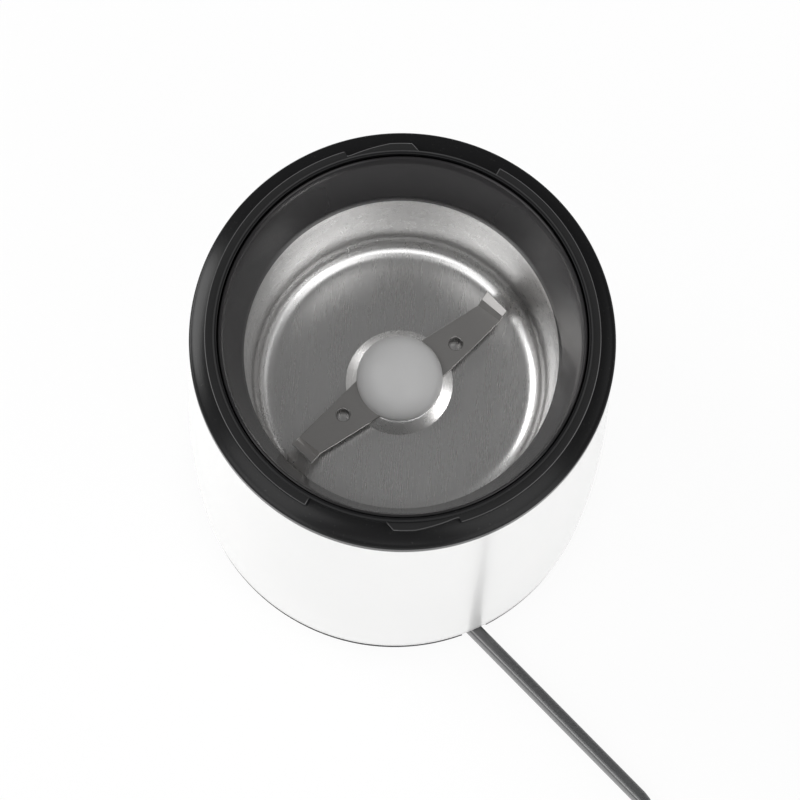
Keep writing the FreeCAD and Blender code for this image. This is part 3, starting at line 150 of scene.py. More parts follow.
def selectVertices(piece, chosen):
    # vertices chosen by their place in millimetres, ready for an operator
    pick(piece)
    bpy.ops.object.mode_set(mode="EDIT")
    bpy.ops.mesh.select_mode(type="VERT")
    bpy.ops.mesh.select_all(action="DESELECT")
    bpy.ops.object.mode_set(mode="OBJECT")
    for vertex in piece.data.vertices:
        vertex.select = chosen(vertex.co / mm)
    bpy.ops.object.mode_set(mode="EDIT")


def moveVertices(piece, chosen, step):
    selectVertices(piece, chosen)
    bpy.ops.transform.translate(value=Vector(step) * mm)
    bpy.ops.object.mode_set(mode="OBJECT")


def extrudeFaces(piece, chosen, step):
    # faces chosen by their middle in millimetres and their normal
    pick(piece)
    bpy.ops.object.mode_set(mode="EDIT")
    bpy.ops.mesh.select_mode(type="FACE")
    bpy.ops.mesh.select_all(action="DESELECT")
    bpy.ops.object.mode_set(mode="OBJECT")
    for face in piece.data.polygons:
        face.select = chosen(face.center / mm, face.normal)
    bpy.ops.object.mode_set(mode="EDIT")
    bpy.ops.mesh.extrude_region_move(TRANSFORM_OT_translate={"value": Vector(step) * mm})
    bpy.ops.object.mode_set(mode="OBJECT")


# Camera at the photo's angle, steep enough to look into the bowl
cameraSetup = {
    "place": (0.45, -324.5, 1557.3),
    "tiltDown": 77.77,
    "roll": 4.48,
    "lens": 315.0,
    "sensor": 36,
    "nearest": 0.05,
    "farthest": 20,
}


def makeCamera(setup):
    tilt = math.radians(setup["tiltDown"])
    roll = math.radians(setup["roll"])
    forward = Vector((0, math.cos(tilt), -math.sin(tilt)))
    level = Vector((1, 0, 0))
    upright = Vector((0, math.sin(tilt), math.cos(tilt)))
    right = level * math.cos(roll) + upright * math.sin(roll)
    up = upright * math.cos(roll) - level * math.sin(roll)
    data = bpy.data.cameras.new("camera")
    data.lens = setup["lens"]
    data.sensor_width = setup["sensor"]
    data.clip_start = setup["nearest"]
    data.clip_end = setup["farthest"]
    camera = bpy.data.objects.new("camera", data)
    bpy.context.scene.collection.objects.link(camera)
    turn = Matrix((right, up, -forward)).transposed().to_4x4()
    camera.matrix_world = Matrix.Translation(Vector(setup["place"]) * mm) @ turn
    bpy.context.scene.camera = camera


makeCamera(cameraSetup)
print("camera done")


# Shader building blocks
def newMaterial(name, colour, roughness, metallic=0.0, coat=0.0, coatRoughness=0.05, specular=0.5):
    material = bpy.data.materials.new(name)
    material.use_nodes = True
    shader = material.node_tree.nodes["Principled BSDF"]
    shader.inputs["Base Color"].default_value = (*colour, 1)
    shader.inputs["Roughness"].default_value = roughness
    shader.inputs["Metallic"].default_value = metallic
    shader.inputs["Coat Weight"].default_value = coat
    shader.inputs["Coat Roughness"].default_value = coatRoughness
    shader.inputs["Specular IOR Level"].default_value = specular
    return material


def addNode(tree, kind, **values):
    node = tree.nodes.new(kind)
    for key, value in values.items():
        setattr(node, key, value)
    return node


def newGroup(name, inputs, outputs):
    group = bpy.data.node_groups.new(name, "ShaderNodeTree")
    for label, kind, value in inputs:
        socket = group.interface.new_socket(label, in_out="INPUT", socket_type=kind)
        if value is not None:
            socket.default_value = value
    for label, kind in outputs:
        group.interface.new_socket(label, in_out="OUTPUT", socket_type=kind)
    start = group.nodes.new("NodeGroupInput")
    end = group.nodes.new("NodeGroupOutput")
    return group, start, end


def mathNode(tree, operation, a, b=None, clamp=False):
    node = addNode(tree, "ShaderNodeMath", operation=operation, use_clamp=clamp)
    for socket, value in ((node.inputs[0], a), (node.inputs[1], b)):
        if value is None:
            continue
        if isinstance(value, (int, float)):
            socket.default_value = value
        else:
            tree.links.new(value, socket)
    return node.outputs[0]


grainLook = {
    "grainDetail": 3, "toneScale": 38, "toneDetail": 4, "speckScale": 1400, "speckDetail": 1,
    "speckFrom": 0.68, "speckGain": 6.0, "roughFollows": 0.6, "dustColour": (0.62, 0.6, 0.57, 1),
    "bumpDistance": 0.0002,
}


def buildMouldGrain():
    # fine uneven skin of moulded plastic, with a slow change of tone and faint dust
    group, start, end = newGroup("mouldGrain", [
        ("Vector", "NodeSocketVector", None),
        ("Colour", "NodeSocketColor", (0.5, 0.5, 0.5, 1)),
        ("Roughness", "NodeSocketFloat", 0.4),
        ("Grain Size", "NodeSocketFloat", 2500.0),
        ("Grain Depth", "NodeSocketFloat", 0.02),
        ("Tone Change", "NodeSocketFloat", 0.06),
        ("Dust", "NodeSocketFloat", 0.02),
    ], [("Colour", "NodeSocketColor"), ("Roughness", "NodeSocketFloat"), ("Normal", "NodeSocketVector")])
    links = group.links
    grain = addNode(group, "ShaderNodeTexNoise")
    grain.inputs["Detail"].default_value = grainLook["grainDetail"]
    links.new(start.outputs["Vector"], grain.inputs["Vector"])
    links.new(start.outputs["Grain Size"], grain.inputs["Scale"])
    tone = addNode(group, "ShaderNodeTexNoise")
    tone.inputs["Scale"].default_value = grainLook["toneScale"]
    tone.inputs["Detail"].default_value = grainLook["toneDetail"]
    links.new(start.outputs["Vector"], tone.inputs["Vector"])
    specks = addNode(group, "ShaderNodeTexNoise")
    specks.inputs["Scale"].default_value = grainLook["speckScale"]
    specks.inputs["Detail"].default_value = grainLook["speckDetail"]
    links.new(start.outputs["Vector"], specks.inputs["Vector"])
    aboveFloor = mathNode(group, "SUBTRACT", specks.outputs["Fac"], grainLook["speckFrom"], True)
    speckMask = mathNode(group, "MULTIPLY", aboveFloor, grainLook["speckGain"], True)
    dustMask = mathNode(group, "MULTIPLY", speckMask, start.outputs["Dust"])
    shift = mathNode(group, "MULTIPLY", mathNode(group, "SUBTRACT", tone.outputs["Fac"], 0.5),
                     start.outputs["Tone Change"])
    brighter = mathNode(group, "ADD", shift, 1.0)
    scaled = addNode(group, "ShaderNodeVectorMath", operation="SCALE")
    links.new(start.outputs["Colour"], scaled.inputs[0])
    links.new(brighter, scaled.inputs["Scale"])
    dusty = addNode(group, "ShaderNodeMixRGB")
    dusty.inputs["Color2"].default_value = grainLook["dustColour"]
    links.new(dustMask, dusty.inputs["Fac"])
    links.new(scaled.outputs[0], dusty.inputs["Color1"])
    links.new(dusty.outputs[0], end.inputs["Colour"])
    roughShift = mathNode(group, "MULTIPLY", shift, grainLook["roughFollows"])
    links.new(mathNode(group, "ADD", start.outputs["Roughness"], roughShift, True), end.inputs["Roughness"])
    bump = addNode(group, "ShaderNodeBump")
    bump.inputs["Distance"].default_value = grainLook["bumpDistance"]
    links.new(start.outputs["Grain Depth"], bump.inputs["Strength"])
    links.new(grain.outputs["Fac"], bump.inputs["Height"])
    links.new(bump.outputs["Normal"], end.inputs["Normal"])
    return group


brushLook = {
    "fineDetail": 4, "fineRoughness": 0.7, "fineShare": 0.7, "wideScale": 0.18, "wideDetail": 2,
    "wideShare": 0.3, "roughFollows": 0.5, "bumpDistance": 0.0001,
}


def buildBrushMarks():
    # long fine scratches along one direction of the mapped vector
    group, start, end = newGroup("brushMarks", [
        ("Vector", "NodeSocketVector", None),
        ("Colour", "NodeSocketColor", (0.6, 0.6, 0.6, 1)),
        ("Roughness", "NodeSocketFloat", 0.25),
        ("Depth", "NodeSocketFloat", 0.1),
        ("Streaks", "NodeSocketFloat", 0.12),
    ], [("Colour", "NodeSocketColor"), ("Roughness", "NodeSocketFloat"), ("Normal", "NodeSocketVector")])
    links = group.links
    fine = addNode(group, "ShaderNodeTexNoise")
    fine.inputs["Scale"].default_value = 1
    fine.inputs["Detail"].default_value = brushLook["fineDetail"]
    fine.inputs["Roughness"].default_value = brushLook["fineRoughness"]
    links.new(start.outputs["Vector"], fine.inputs["Vector"])
    wide = addNode(group, "ShaderNodeTexNoise")
    wide.inputs["Scale"].default_value = brushLook["wideScale"]
    wide.inputs["Detail"].default_value = brushLook["wideDetail"]
    links.new(start.outputs["Vector"], wide.inputs["Vector"])
    both = mathNode(group, "ADD", mathNode(group, "MULTIPLY", fine.outputs["Fac"], brushLook["fineShare"]),
                    mathNode(group, "MULTIPLY", wide.outputs["Fac"], brushLook["wideShare"]))
    shift = mathNode(group, "MULTIPLY", mathNode(group, "SUBTRACT", both, 0.5), start.outputs["Streaks"])
    scaled = addNode(group, "ShaderNodeVectorMath", operation="SCALE")
    links.new(start.outputs["Colour"], scaled.inputs[0])
    links.new(mathNode(group, "ADD", shift, 1.0), scaled.inputs["Scale"])
    links.new(scaled.outputs[0], end.inputs["Colour"])
    roughShift = mathNode(group, "MULTIPLY", shift, brushLook["roughFollows"])
    links.new(mathNode(group, "SUBTRACT", start.outputs["Roughness"], roughShift, True),
              end.inputs["Roughness"])
    bump = addNode(group, "ShaderNodeBump")
    bump.inputs["Distance"].default_value = brushLook["bumpDistance"]
    links.new(start.outputs["Depth"], bump.inputs["Strength"])
    links.new(both, bump.inputs["Height"])
    links.new(bump.outputs["Normal"], end.inputs["Normal"])
    return group


windingLook = {"wobble": 0.4, "wobbleDetail": 1, "roughFollows": 0.2, "bumpDistance": 0.0001, "waveRate": 20}


def buildWindingLines():
    # thin even lines, as on stacked steel sheets or a wound coil
    group, start, end = newGroup("windingLines", [
        ("Vector", "NodeSocketVector", None),
        ("Colour", "NodeSocketColor", (0.5, 0.5, 0.5, 1)),
        ("Groove Colour", "NodeSocketColor", (0.1, 0.1, 0.1, 1)),
        ("Roughness", "NodeSocketFloat", 0.4),
        ("Lines", "NodeSocketFloat", 300.0),
        ("Depth", "NodeSocketFloat", 0.4),
    ], [("Colour", "NodeSocketColor"), ("Roughness", "NodeSocketFloat"), ("Normal", "NodeSocketVector")])
    links = group.links
    bands = addNode(group, "ShaderNodeTexWave", wave_type="BANDS", bands_direction="Z")
    bands.inputs["Distortion"].default_value = windingLook["wobble"]
    bands.inputs["Detail"].default_value = windingLook["wobbleDetail"]
    links.new(start.outputs["Vector"], bands.inputs["Vector"])
    links.new(start.outputs["Lines"], bands.inputs["Scale"])
    mix = addNode(group, "ShaderNodeMixRGB")
    links.new(bands.outputs["Fac"], mix.inputs["Fac"])
    links.new(start.outputs["Groove Colour"], mix.inputs["Color1"])
    links.new(start.outputs["Colour"], mix.inputs["Color2"])
    links.new(mix.outputs[0], end.inputs["Colour"])
    lift = mathNode(group, "MULTIPLY", mathNode(group, "SUBTRACT", 0.5, bands.outputs["Fac"]),
                    windingLook["roughFollows"])
    links.new(mathNode(group, "ADD", start.outputs["Roughness"], lift, True), end.inputs["Roughness"])
    bump = addNode(group, "ShaderNodeBump")
    bump.inputs["Distance"].default_value = windingLook["bumpDistance"]
    links.new(start.outputs["Depth"], bump.inputs["Strength"])
    links.new(bands.outputs["Fac"], bump.inputs["Height"])
    links.new(bump.outputs["Normal"], end.inputs["Normal"])
    return group


mouldGrain = buildMouldGrain()
brushMarks = buildBrushMarks()
windingLines = buildWindingLines()


def mappedVector(tree, scale, turn=(0, 0, 0)):
    place = addNode(tree, "ShaderNodeTexCoord")
    mapping = addNode(tree, "ShaderNodeMapping")
    mapping.inputs["Scale"].default_value = scale
    mapping.inputs["Rotation"].default_value = turn
    tree.links.new(place.outputs["Object"], mapping.inputs["Vector"])
    return mapping.outputs["Vector"]


def joinGroup(material, group, values, vector):
    tree = material.node_tree
    shader = tree.nodes["Principled BSDF"]
    box = addNode(tree, "ShaderNodeGroup", node_tree=group)
    tree.links.new(vector, box.inputs["Vector"])
    box.inputs["Colour"].default_value = shader.inputs["Base Color"].default_value
    box.inputs["Roughness"].default_value = shader.inputs["Roughness"].default_value
    for label, value in values.items():
        box.inputs[label].default_value = value
    tree.links.new(box.outputs["Colour"], shader.inputs["Base Color"])
    tree.links.new(box.outputs["Roughness"], shader.inputs["Roughness"])
    tree.links.new(box.outputs["Normal"], shader.inputs["Normal"])


def plasticFinish(name, colour, roughness, grainSize=2500.0, grainDepth=0.02, toneChange=0.06,
                  dust=0.0, **shaderValues):
    material = newMaterial(name, colour, roughness, **shaderValues)
    vector = mappedVector(material.node_tree, (1, 1, 1))
    joinGroup(material, mouldGrain, {
        "Grain Size": grainSize, "Grain Depth": grainDepth, "Tone Change": toneChange, "Dust": dust},
        vector)
    return material


def metalFinish(name, colour, roughness, scale, depth=0.1, streaks=0.12, turn=(0, 0, 0),
                **shaderValues):
    material = newMaterial(name, colour, roughness, metallic=1.0, **shaderValues)
    vector = mappedVector(material.node_tree, scale, turn)
    joinGroup(material, brushMarks, {"Depth": depth, "Streaks": streaks}, vector)
    return material


def bandedFinish(name, colour, darker, roughness, metallic, linesPerMetre, **shaderValues):
    material = newMaterial(name, colour, roughness, metallic=metallic, **shaderValues)
    vector = mappedVector(material.node_tree, (1, 1, 1))
    joinGroup(material, windingLines, {
        "Groove Colour": (*darker, 1), "Lines": linesPerMetre * tau / windingLook["waveRate"]}, vector)
    return material


finishes = {
    "whiteGloss": plasticFinish("whiteGloss", (0.84, 0.84, 0.835), 0.22, grainSize=900,
                                grainDepth=0.006, toneChange=0.01, specular=0.4, coat=0.12,
                                coatRoughness=0.04),
    "blackSatin": plasticFinish("blackSatin", (0.009, 0.009, 0.0095), 0.2, grainDepth=0.015,
                                toneChange=0.2, dust=0.03, specular=0.2),
    "lipBlack": plasticFinish("lipBlack", (0.009, 0.009, 0.0095), 0.14, grainDepth=0.01,
                              toneChange=0.2, dust=0.02, specular=1.0),
    "baseBlack": plasticFinish("baseBlack", (0.008, 0.008, 0.008), 0.55, grainDepth=0.05,
                               toneChange=0.2, dust=0.03, specular=0.08),
    "smokyGloss": plasticFinish("smokyGloss", (0.026, 0.025, 0.026), 0.14, grainSize=600,
                                grainDepth=0.01, toneChange=0.1, specular=0.24),
    "bowlSteel": metalFinish("bowlSteel", (0.7, 0.695, 0.69), 0.28, (2600, 110, 2600), depth=0.1,
                             streaks=0.22),
    "bladeSteel": metalFinish("bladeSteel", (0.5, 0.49, 0.48), 0.3, (900, 4200, 900), depth=0.1,
                              streaks=0.14, turn=(0, 0, math.radians(-40))),
    "capGrey": plasticFinish("capGrey", (0.76, 0.76, 0.76), 0.3, grainSize=1800, grainDepth=0.03,
                             toneChange=0.05),
    "rubberBlack": plasticFinish("rubberBlack", (0.02, 0.02, 0.02), 0.75, grainSize=1500,
                                 grainDepth=0.12, toneChange=0.3, dust=0.08),
    "framePlastic": plasticFinish("framePlastic", (0.07, 0.075, 0.08), 0.5, grainDepth=0.06,
                                  toneChange=0.15, dust=0.04),
    "palePlastic": plasticFinish("palePlastic", (0.45, 0.45, 0.44), 0.45, grainDepth=0.05,
                                 toneChange=0.1, dust=0.03),
    "laminations": bandedFinish("laminations", (0.3, 0.31, 0.33), (0.08, 0.08, 0.09), 0.4, 0.8, 1000),
    "copperWire": bandedFinish("copperWire", (0.7, 0.28, 0.12), (0.25, 0.08, 0.03), 0.3, 0.9, 1250),
    "bronze": metalFinish("bronze", (0.5, 0.33, 0.15), 0.35, (900, 900, 4000)),
    "zincScrew": metalFinish("zincScrew", (0.6, 0.6, 0.57), 0.3, (2500, 2500, 900)),
    "castAluminium": metalFinish("castAluminium", (0.6, 0.6, 0.6), 0.42, (1500, 1500, 1500)),
    "carbon": plasticFinish("carbon", (0.02, 0.02, 0.021), 0.6, grainDepth=0.1, toneChange=0.3),
    "wireSleeve": plasticFinish("wireSleeve", (0.03, 0.03, 0.035), 0.45, grainDepth=0.05),
    "plugBlack": plasticFinish("plugBlack", (0.018, 0.018, 0.019), 0.42, grainDepth=0.1,
                               toneChange=0.25, dust=0.05),
    "plugBrass": metalFinish("plugBrass", (0.7, 0.55, 0.28), 0.22, (5000, 500, 500)),
    "cordSleeve": plasticFinish("cordSleeve", (0.075, 0.076, 0.078), 0.22, grainSize=1400,
                                grainDepth=0.02, toneChange=0.2, dust=0.03, coat=0.2,
                                coatRoughness=0.12),
}


def wear(piece, finish):
    piece.data.materials.clear()
    piece.data.materials.append(finishes[finish])


nodeFinishes = {
    "base_plate": "baseBlack", "rubber_feet": "rubberBlack", "base_screws": "zincScrew",
    "liner_screws": "zincScrew", "bowl_gasket": "rubberBlack", "shaft_seal": "rubberBlack",
    "motor_carrier": "framePlastic", "rubber_mounts": "rubberBlack", "motor_screws": "zincScrew",
    "spacer_tubes": "castAluminium", "upper_bracket": "castAluminium", "upper_bush": "bronze",
    "lower_bracket": "castAluminium", "lower_bush": "bronze", "stator_stack": "laminations",
    "field_coils": "copperWire", "brush_holders": "framePlastic", "carbon_brushes": "carbon",
    "brush_springs": "zincScrew", "shaft": "bladeSteel", "rotor_core": "laminations",
    "armature_windings": "copperWire", "commutator": "bronze", "fan": "framePlastic",
    "blade_spacer": "zincScrew", "blade_nut": "zincScrew", "switch_plunger": "framePlastic",
    "plunger_spring": "zincScrew", "microswitch": "framePlastic", "switch_bracket": "castAluminium",
    "thermal_fuse": "castAluminium", "capacitor": "palePlastic", "terminal_block": "palePlastic",
    "lead_wires": "wireSleeve", "strain_relief": "plugBlack", "cord_clamp": "framePlastic",
    "clamp_screws": "zincScrew", "plug_relief": "plugBlack", "plug_body": "plugBlack",
    "plug_blades": "plugBrass",
}
for nodeName, finish in nodeFinishes.items():
    wear(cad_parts[nodeName], finish)
print("finishes done")


# White barrel body
body = {
    "lowRadius": 44.76, "highRadius": 43.95, "low": 4.8, "high": 117.1,
    "wall": 2.2, "barrelRadius": 1107.0, "edge": 0.5, "steps": 28,
}


def barrelRadiusAt(z, offset=0.0):
    half = (body["high"] - body["low"]) / 2
    middle = (body["high"] + body["low"]) / 2
    chord = body["highRadius"] + (body["lowRadius"] - body["highRadius"]) * (body["high"] - z) / (2 * half)
    bulge = (half * half - (z - middle) ** 2) / (2 * body["barrelRadius"])
    return chord + bulge - offset


def makeBody():
    steps = body["steps"]
    heights = [body["low"] + (body["high"] - body["low"]) * i / steps for i in range(steps + 1)]
    outside = [(barrelRadiusAt(z), z) for z in heights]
    inside = [(barrelRadiusAt(z, body["wall"]), z) for z in reversed(heights)]
    profile = outside + inside + [outside[0]]
    shell = turnedPiece("bodyShell", profile, roundSteps)
    softEdges(shell, body["edge"], 40)
    shadeSmooth(shell)
    wear(shell, "whiteGloss")
    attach(shell, "body")
    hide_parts("housing")


makeBody()

# Black rim ring with its collar, two bayonet lips and the slot of the switch plunger
rim = {
    "radius": 45.0, "sideTop": 119.6, "edgeRound": 0.5, "skirt": 41.4, "ledge": 37.8,
    "ledgeLow": 106.4, "ledgeHigh": 107.6, "inner": 39.2, "collar": 40.0, "collarTop": 125.0,
    "shoulderTop": 121.4, "shoulderRound": 22.0,
    "lipInner": 39.6, "lipOuter": 41.7, "lipLow": 122.5, "lipHigh": 124.0,
    "lipStart": 89.1, "lipEnd": 245.0, "lipSteps": 120, "lipEdge": 0.28,
    "lipOutline": [(39.9, 0), (40.8, 0), (41.75, 0), (41.75, 0), (41.75, 0), (41.75, 0), (41.75, 0),
                   (41.75, 0), (41.6, 0), (41.48, 0), (41.35, 0), (41.23, 0), (41.1, 0), (40.97, 0),
                   (40.85, 0), (40.72, 0), (40.6, 0), (40.6, 0), (41.7, -0.98)],
    "slotAngle": 95.0, "slotInner": 39.95, "slotOuter": 41.6, "slotHalf": 2.1, "slotLow": 104.2,
    "slotHigh": 122.45, "lowEdge": 0.25, "collarEdge": 0.35, "innerEdge": 0.15, "edgeSteps": 5,
}


def shoulderPoints(steps=8):
    a = Vector((rim["radius"] - rim["edgeRound"], rim["sideTop"] + rim["edgeRound"]))
    b = Vector((rim["collar"], rim["shoulderTop"]))
    half = (b - a).length / 2
    reach = math.sqrt(rim["shoulderRound"] ** 2 - half * half)
    left = Vector((-(b - a).y, (b - a).x)).normalized()
    centre = (a + b) / 2 + left * reach
    start = math.degrees(math.atan2(a.y - centre.y, a.x - centre.x))
    stop = math.degrees(math.atan2(b.y - centre.y, b.x - centre.x))
    if stop < start:
        stop += 360
    return arcPoints(centre, rim["shoulderRound"], start, stop, steps)


def makeRim():
    profile = [(rim["ledge"], rim["ledgeLow"]), (rim["skirt"], rim["ledgeLow"]),
               (rim["skirt"], body["high"]), (rim["radius"] - rim["lowEdge"], body["high"]),
               (rim["radius"], body["high"] + rim["lowEdge"])]
    profile += arcPoints((rim["radius"] - rim["edgeRound"], rim["sideTop"]), rim["edgeRound"], 0, 90,
                         rim["edgeSteps"])
    profile += shoulderPoints()[1:]
    profile += [(rim["collar"], rim["collarTop"] - rim["collarEdge"]),
                (rim["collar"] - rim["collarEdge"], rim["collarTop"]),
                (rim["inner"] + rim["innerEdge"], rim["collarTop"]),
                (rim["inner"], rim["collarTop"] - rim["innerEdge"]),
                (rim["inner"], rim["ledgeHigh"]), (rim["ledge"], rim["ledgeHigh"]),
                (rim["ledge"], rim["ledgeLow"])]
    ring = turnedPiece("rimRing", profile, roundSteps)
    slot = blockPiece("slotCutter", (rim["slotInner"], -rim["slotHalf"], rim["slotLow"]),
                      (rim["slotOuter"], rim["slotHalf"], rim["slotHigh"]), rim["slotAngle"])
    carve(ring, slot)
    shadeSmooth(ring, 25)
    wear(ring, "blackSatin")
    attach(ring, "body")
    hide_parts("rim_ring")


def makeLip(name, turn):
    # the lip's section spun about the axis, then its first steps drawn in: slope, bump, ramp, notch
    deselectAll()
    middle = (rim["lipInner"] + rim["lipOuter"]) / 2
    bpy.ops.mesh.primitive_plane_add(size=1, location=(0, 0, 0))
    lip = bpy.context.object
    lip.name = name
    lip.rotation_euler = (math.pi / 2, 0, 0)
    lip.scale = ((rim["lipOuter"] - rim["lipInner"]) * mm, (rim["lipHigh"] - rim["lipLow"]) * mm, 1)
    lip.location = (middle * mm, 0, (rim["lipLow"] + rim["lipHigh"]) / 2 * mm)
    applyPlace(lip)
    bpy.ops.object.mode_set(mode="EDIT")
    bpy.ops.mesh.select_all(action="SELECT")
    sweep = math.radians(rim["lipEnd"] - rim["lipStart"])
    bpy.ops.mesh.spin(steps=rim["lipSteps"], angle=-sweep, center=(0, 0, 0), axis=(0, 0, 1))
    bpy.ops.object.mode_set(mode="OBJECT")
    stepAngle = sweep / rim["lipSteps"]
    for place, (outer, ahead) in enumerate(rim["lipOutline"]):
        angle = stepAngle * place
        nextAngle = angle + math.radians(ahead)
        for old, new in ((rim["lipOuter"], outer), (rim["lipInner"], rim["lipInner"])):
            spot = Vector((math.cos(angle), math.sin(angle), 0)) * old
            target = Vector((math.cos(nextAngle), math.sin(nextAngle), 0)) * new
            if (target - spot).length > near:
                moveVertices(lip, lambda co: (Vector((co.x, co.y, 0)) - spot).length < near, target - spot)
    cleanShell(lip)
    lip.rotation_euler = (0, 0, math.radians(rim["lipStart"] + turn))
    applyPlace(lip)
    softEdges(lip, rim["lipEdge"], 40, 1)
    shadeSmooth(lip, 35)
    wear(lip, "lipBlack")
    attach(lip, "body")
    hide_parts("rim_ring")


makeRim()
makeLip("bayonetLipLeft", 0)
makeLip("bayonetLipRight", 180)
print("body and rim done")

# Smoky conical liner
liner = {
    "topRadius": 38.2, "lowRadius": 33.5, "low": 106.4, "top": 124.0, "outer": 38.9, "step": 37.6,
    "stepHigh": 107.6, "flangeTop": 108.8, "backLow": 35.64, "backTop": 121.1, "hollow": 0.03,
    "foot": 0.2, "steps": 8,
    "outerEdge": [(0, -0.3), (-0.12, -0.05), (-0.35, 0)], "innerEdge": [(0.1, -0.08), (-0.05, -0.3)],
}


def makeLiner():
    profile = [(liner["lowRadius"], liner["low"]), (liner["step"], liner["low"]),
               (liner["step"], liner["stepHigh"]), (liner["outer"], liner["stepHigh"]),
               (liner["outer"], liner["flangeTop"]), (liner["backLow"], liner["flangeTop"]),
               (liner["outer"], liner["backTop"])]
    profile += [(liner["outer"] + out, liner["top"] + up) for out, up in liner["outerEdge"]]
    profile += [(liner["topRadius"] + out, liner["top"] + up) for out, up in liner["innerEdge"]]
    drawIn = liner["lowRadius"] - liner["topRadius"]
    for i in range(1, liner["steps"]):
        share = i / liner["steps"]
        profile.append((liner["topRadius"] + drawIn * share - liner["hollow"],
                        liner["top"] + (liner["low"] - liner["top"]) * share))
    profile += [(liner["lowRadius"], liner["low"] + liner["foot"]), (liner["lowRadius"], liner["low"])]
    cone = turnedPiece("linerCone", profile, roundSteps)
    shadeSmooth(cone, 30)
    wear(cone, "smokyGloss")
    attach(cone, "body")
    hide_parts("liner")


makeLiner()

# Brushed stainless bowl
bowl = {
    "topRadius": 33.5, "top": 106.4, "lowRadius": 31.8, "bendTop": 82.2, "bend": 4.7, "floor": 77.5,
    "bossRadius": 11.5, "bossTopRadius": 9.1, "bossRise": 2.1, "hole": 6.2, "sheet": 0.8,
    "flange": 39.6, "dome": 0.5, "mouthEdge": [(0.4, 0), (0.1, -0.12), (0, -0.45)], "mouthDrop": 0.45,
    "bossLap": 0.08, "bossInset": 0.1, "bossDrop": 0.06, "steps": 10, "outerArc": 10, "innerArc": 14,
}


def makeBowl():
    b = bowl
    sheet = b["sheet"]
    centre = (b["lowRadius"] - b["bend"], b["bendTop"])
    bossTop = b["floor"] + b["bossRise"]
    profile = [(b["hole"], bossTop - sheet), (b["bossTopRadius"], bossTop - sheet),
               (b["bossRadius"], b["floor"] - sheet)]
    profile += arcPoints(centre, b["bend"] + sheet, 270, 360, b["outerArc"])
    profile += [(b["topRadius"] + sheet, b["top"] - sheet), (b["flange"], b["top"] - sheet),
                (b["flange"], b["top"])]
    profile += [(b["topRadius"] + out, b["top"] + up) for out, up in b["mouthEdge"]]
    for i in range(1, b["steps"]):
        share = i / b["steps"]
        profile.append((b["topRadius"] + (b["lowRadius"] - b["topRadius"]) * share,
                        b["top"] - b["mouthDrop"] + (b["bendTop"] - b["top"] + b["mouthDrop"]) * share))
    profile += arcPoints(centre, b["bend"], 360, 270, b["innerArc"])
    for i in range(1, b["steps"]):
        share = i / b["steps"]
        radius = centre[0] + (b["bossRadius"] + b["bossLap"] - centre[0]) * share
        profile.append((radius, b["floor"] + b["dome"] * (1 - (1 - share) ** 2)))
    profile += [(b["bossRadius"] + b["bossLap"], b["floor"] + b["dome"]),
                (b["bossTopRadius"] + b["bossLap"], bossTop - b["bossDrop"]),
                (b["bossTopRadius"] - b["bossInset"], bossTop),
                (b["hole"], bossTop), (b["hole"], bossTop - sheet)]
    cup = turnedPiece("bowlCup", profile, roundSteps)
    shadeSmooth(cup, 24)
    wear(cup, "bowlSteel")
    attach(cup, "body")
    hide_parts("bowl")


makeBowl()

# Two-armed blade with tips bent up, and the cap over its nut
blade = {
    "low": 80.4, "thick": 1.3, "hub": 8.6, "bore": 2.5,
    "rootA": (9.0, 0.85), "rootB": (3.85, 8.7), "foldA": (20.6, 14.5), "foldB": (15.7, 17.6),
    "stepA": (21.15, 15.3), "stepB": (16.35, 18.75), "stepRise": 1.25,
    "tipA": (22.0, 16.4), "tipB": (17.5, 20.35), "tipRise": 2.1,
    "hole": (11.52, 8.81), "holeRadius": 1.55, "holeAround": 48, "drill": 6.0, "rootLap": 3.0,
    "hubDrop": 0.01, "hubAround": 96, "faceNear": 0.3, "endTilt": 0.6,
}


def makeArm(name, turn):
    low, high = blade["low"], blade["low"] + blade["thick"]
    arm = blockPiece(name, (0, 0, low), (1, 1, high))
    roots = []
    for root, fold in (("rootA", "foldA"), ("rootB", "foldB")):
        spot = Vector(blade[root])
        roots.append(spot - (Vector(blade[fold]) - spot).normalized() * blade["rootLap"])
    corners = [((1, 0), blade["foldA"]), ((1, 1), blade["foldB"]), ((0, 0), roots[0]), ((0, 1), roots[1])]
    for (x, y), target in corners:
        step = Vector(target) - Vector((x, y))
        moveVertices(arm, lambda co: (co.xy - Vector((x, y))).length < near, (*step, 0))
    # the end goes out and up twice: over the fold, and over the step
    ends = [Vector(blade["foldA"]), Vector(blade["foldB"])]
    rise = 0
    for a, b, height in (("stepA", "stepB", "stepRise"), ("tipA", "tipB", "tipRise")):
        middle = (ends[0] + ends[1]) / 2
        nextMiddle = (Vector(blade[a]) + Vector(blade[b])) / 2
        step = nextMiddle - middle
        extrudeFaces(arm, lambda co, normal: (co.xy - middle).length < blade["faceNear"]
                     and abs(normal.z) < blade["endTilt"], (*step, blade[height] - rise))
        for end, target in zip(ends, (blade[a], blade[b])):
            spot = end + step
            moveVertices(arm, lambda co: (co.xy - spot).length < near, (*(Vector(target) - spot), 0))
        ends = [Vector(blade[a]), Vector(blade[b])]
        rise = blade[height]
    cleanShell(arm)
    deselectAll()
    bpy.ops.mesh.primitive_cylinder_add(
        vertices=blade["holeAround"], radius=blade["holeRadius"] * mm, depth=blade["drill"] * mm,
        location=(blade["hole"][0] * mm, blade["hole"][1] * mm, (low + high) / 2 * mm))
    carve(arm, bpy.context.object)
    if turn:
        arm.rotation_euler = (0, 0, math.radians(turn))
        applyPlace(arm)
    softEdges(arm, 0.1, 50, 1)
    shadeSmooth(arm, 20)
    wear(arm, "bladeSteel")
    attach(arm, "rotor")
    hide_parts("blade")


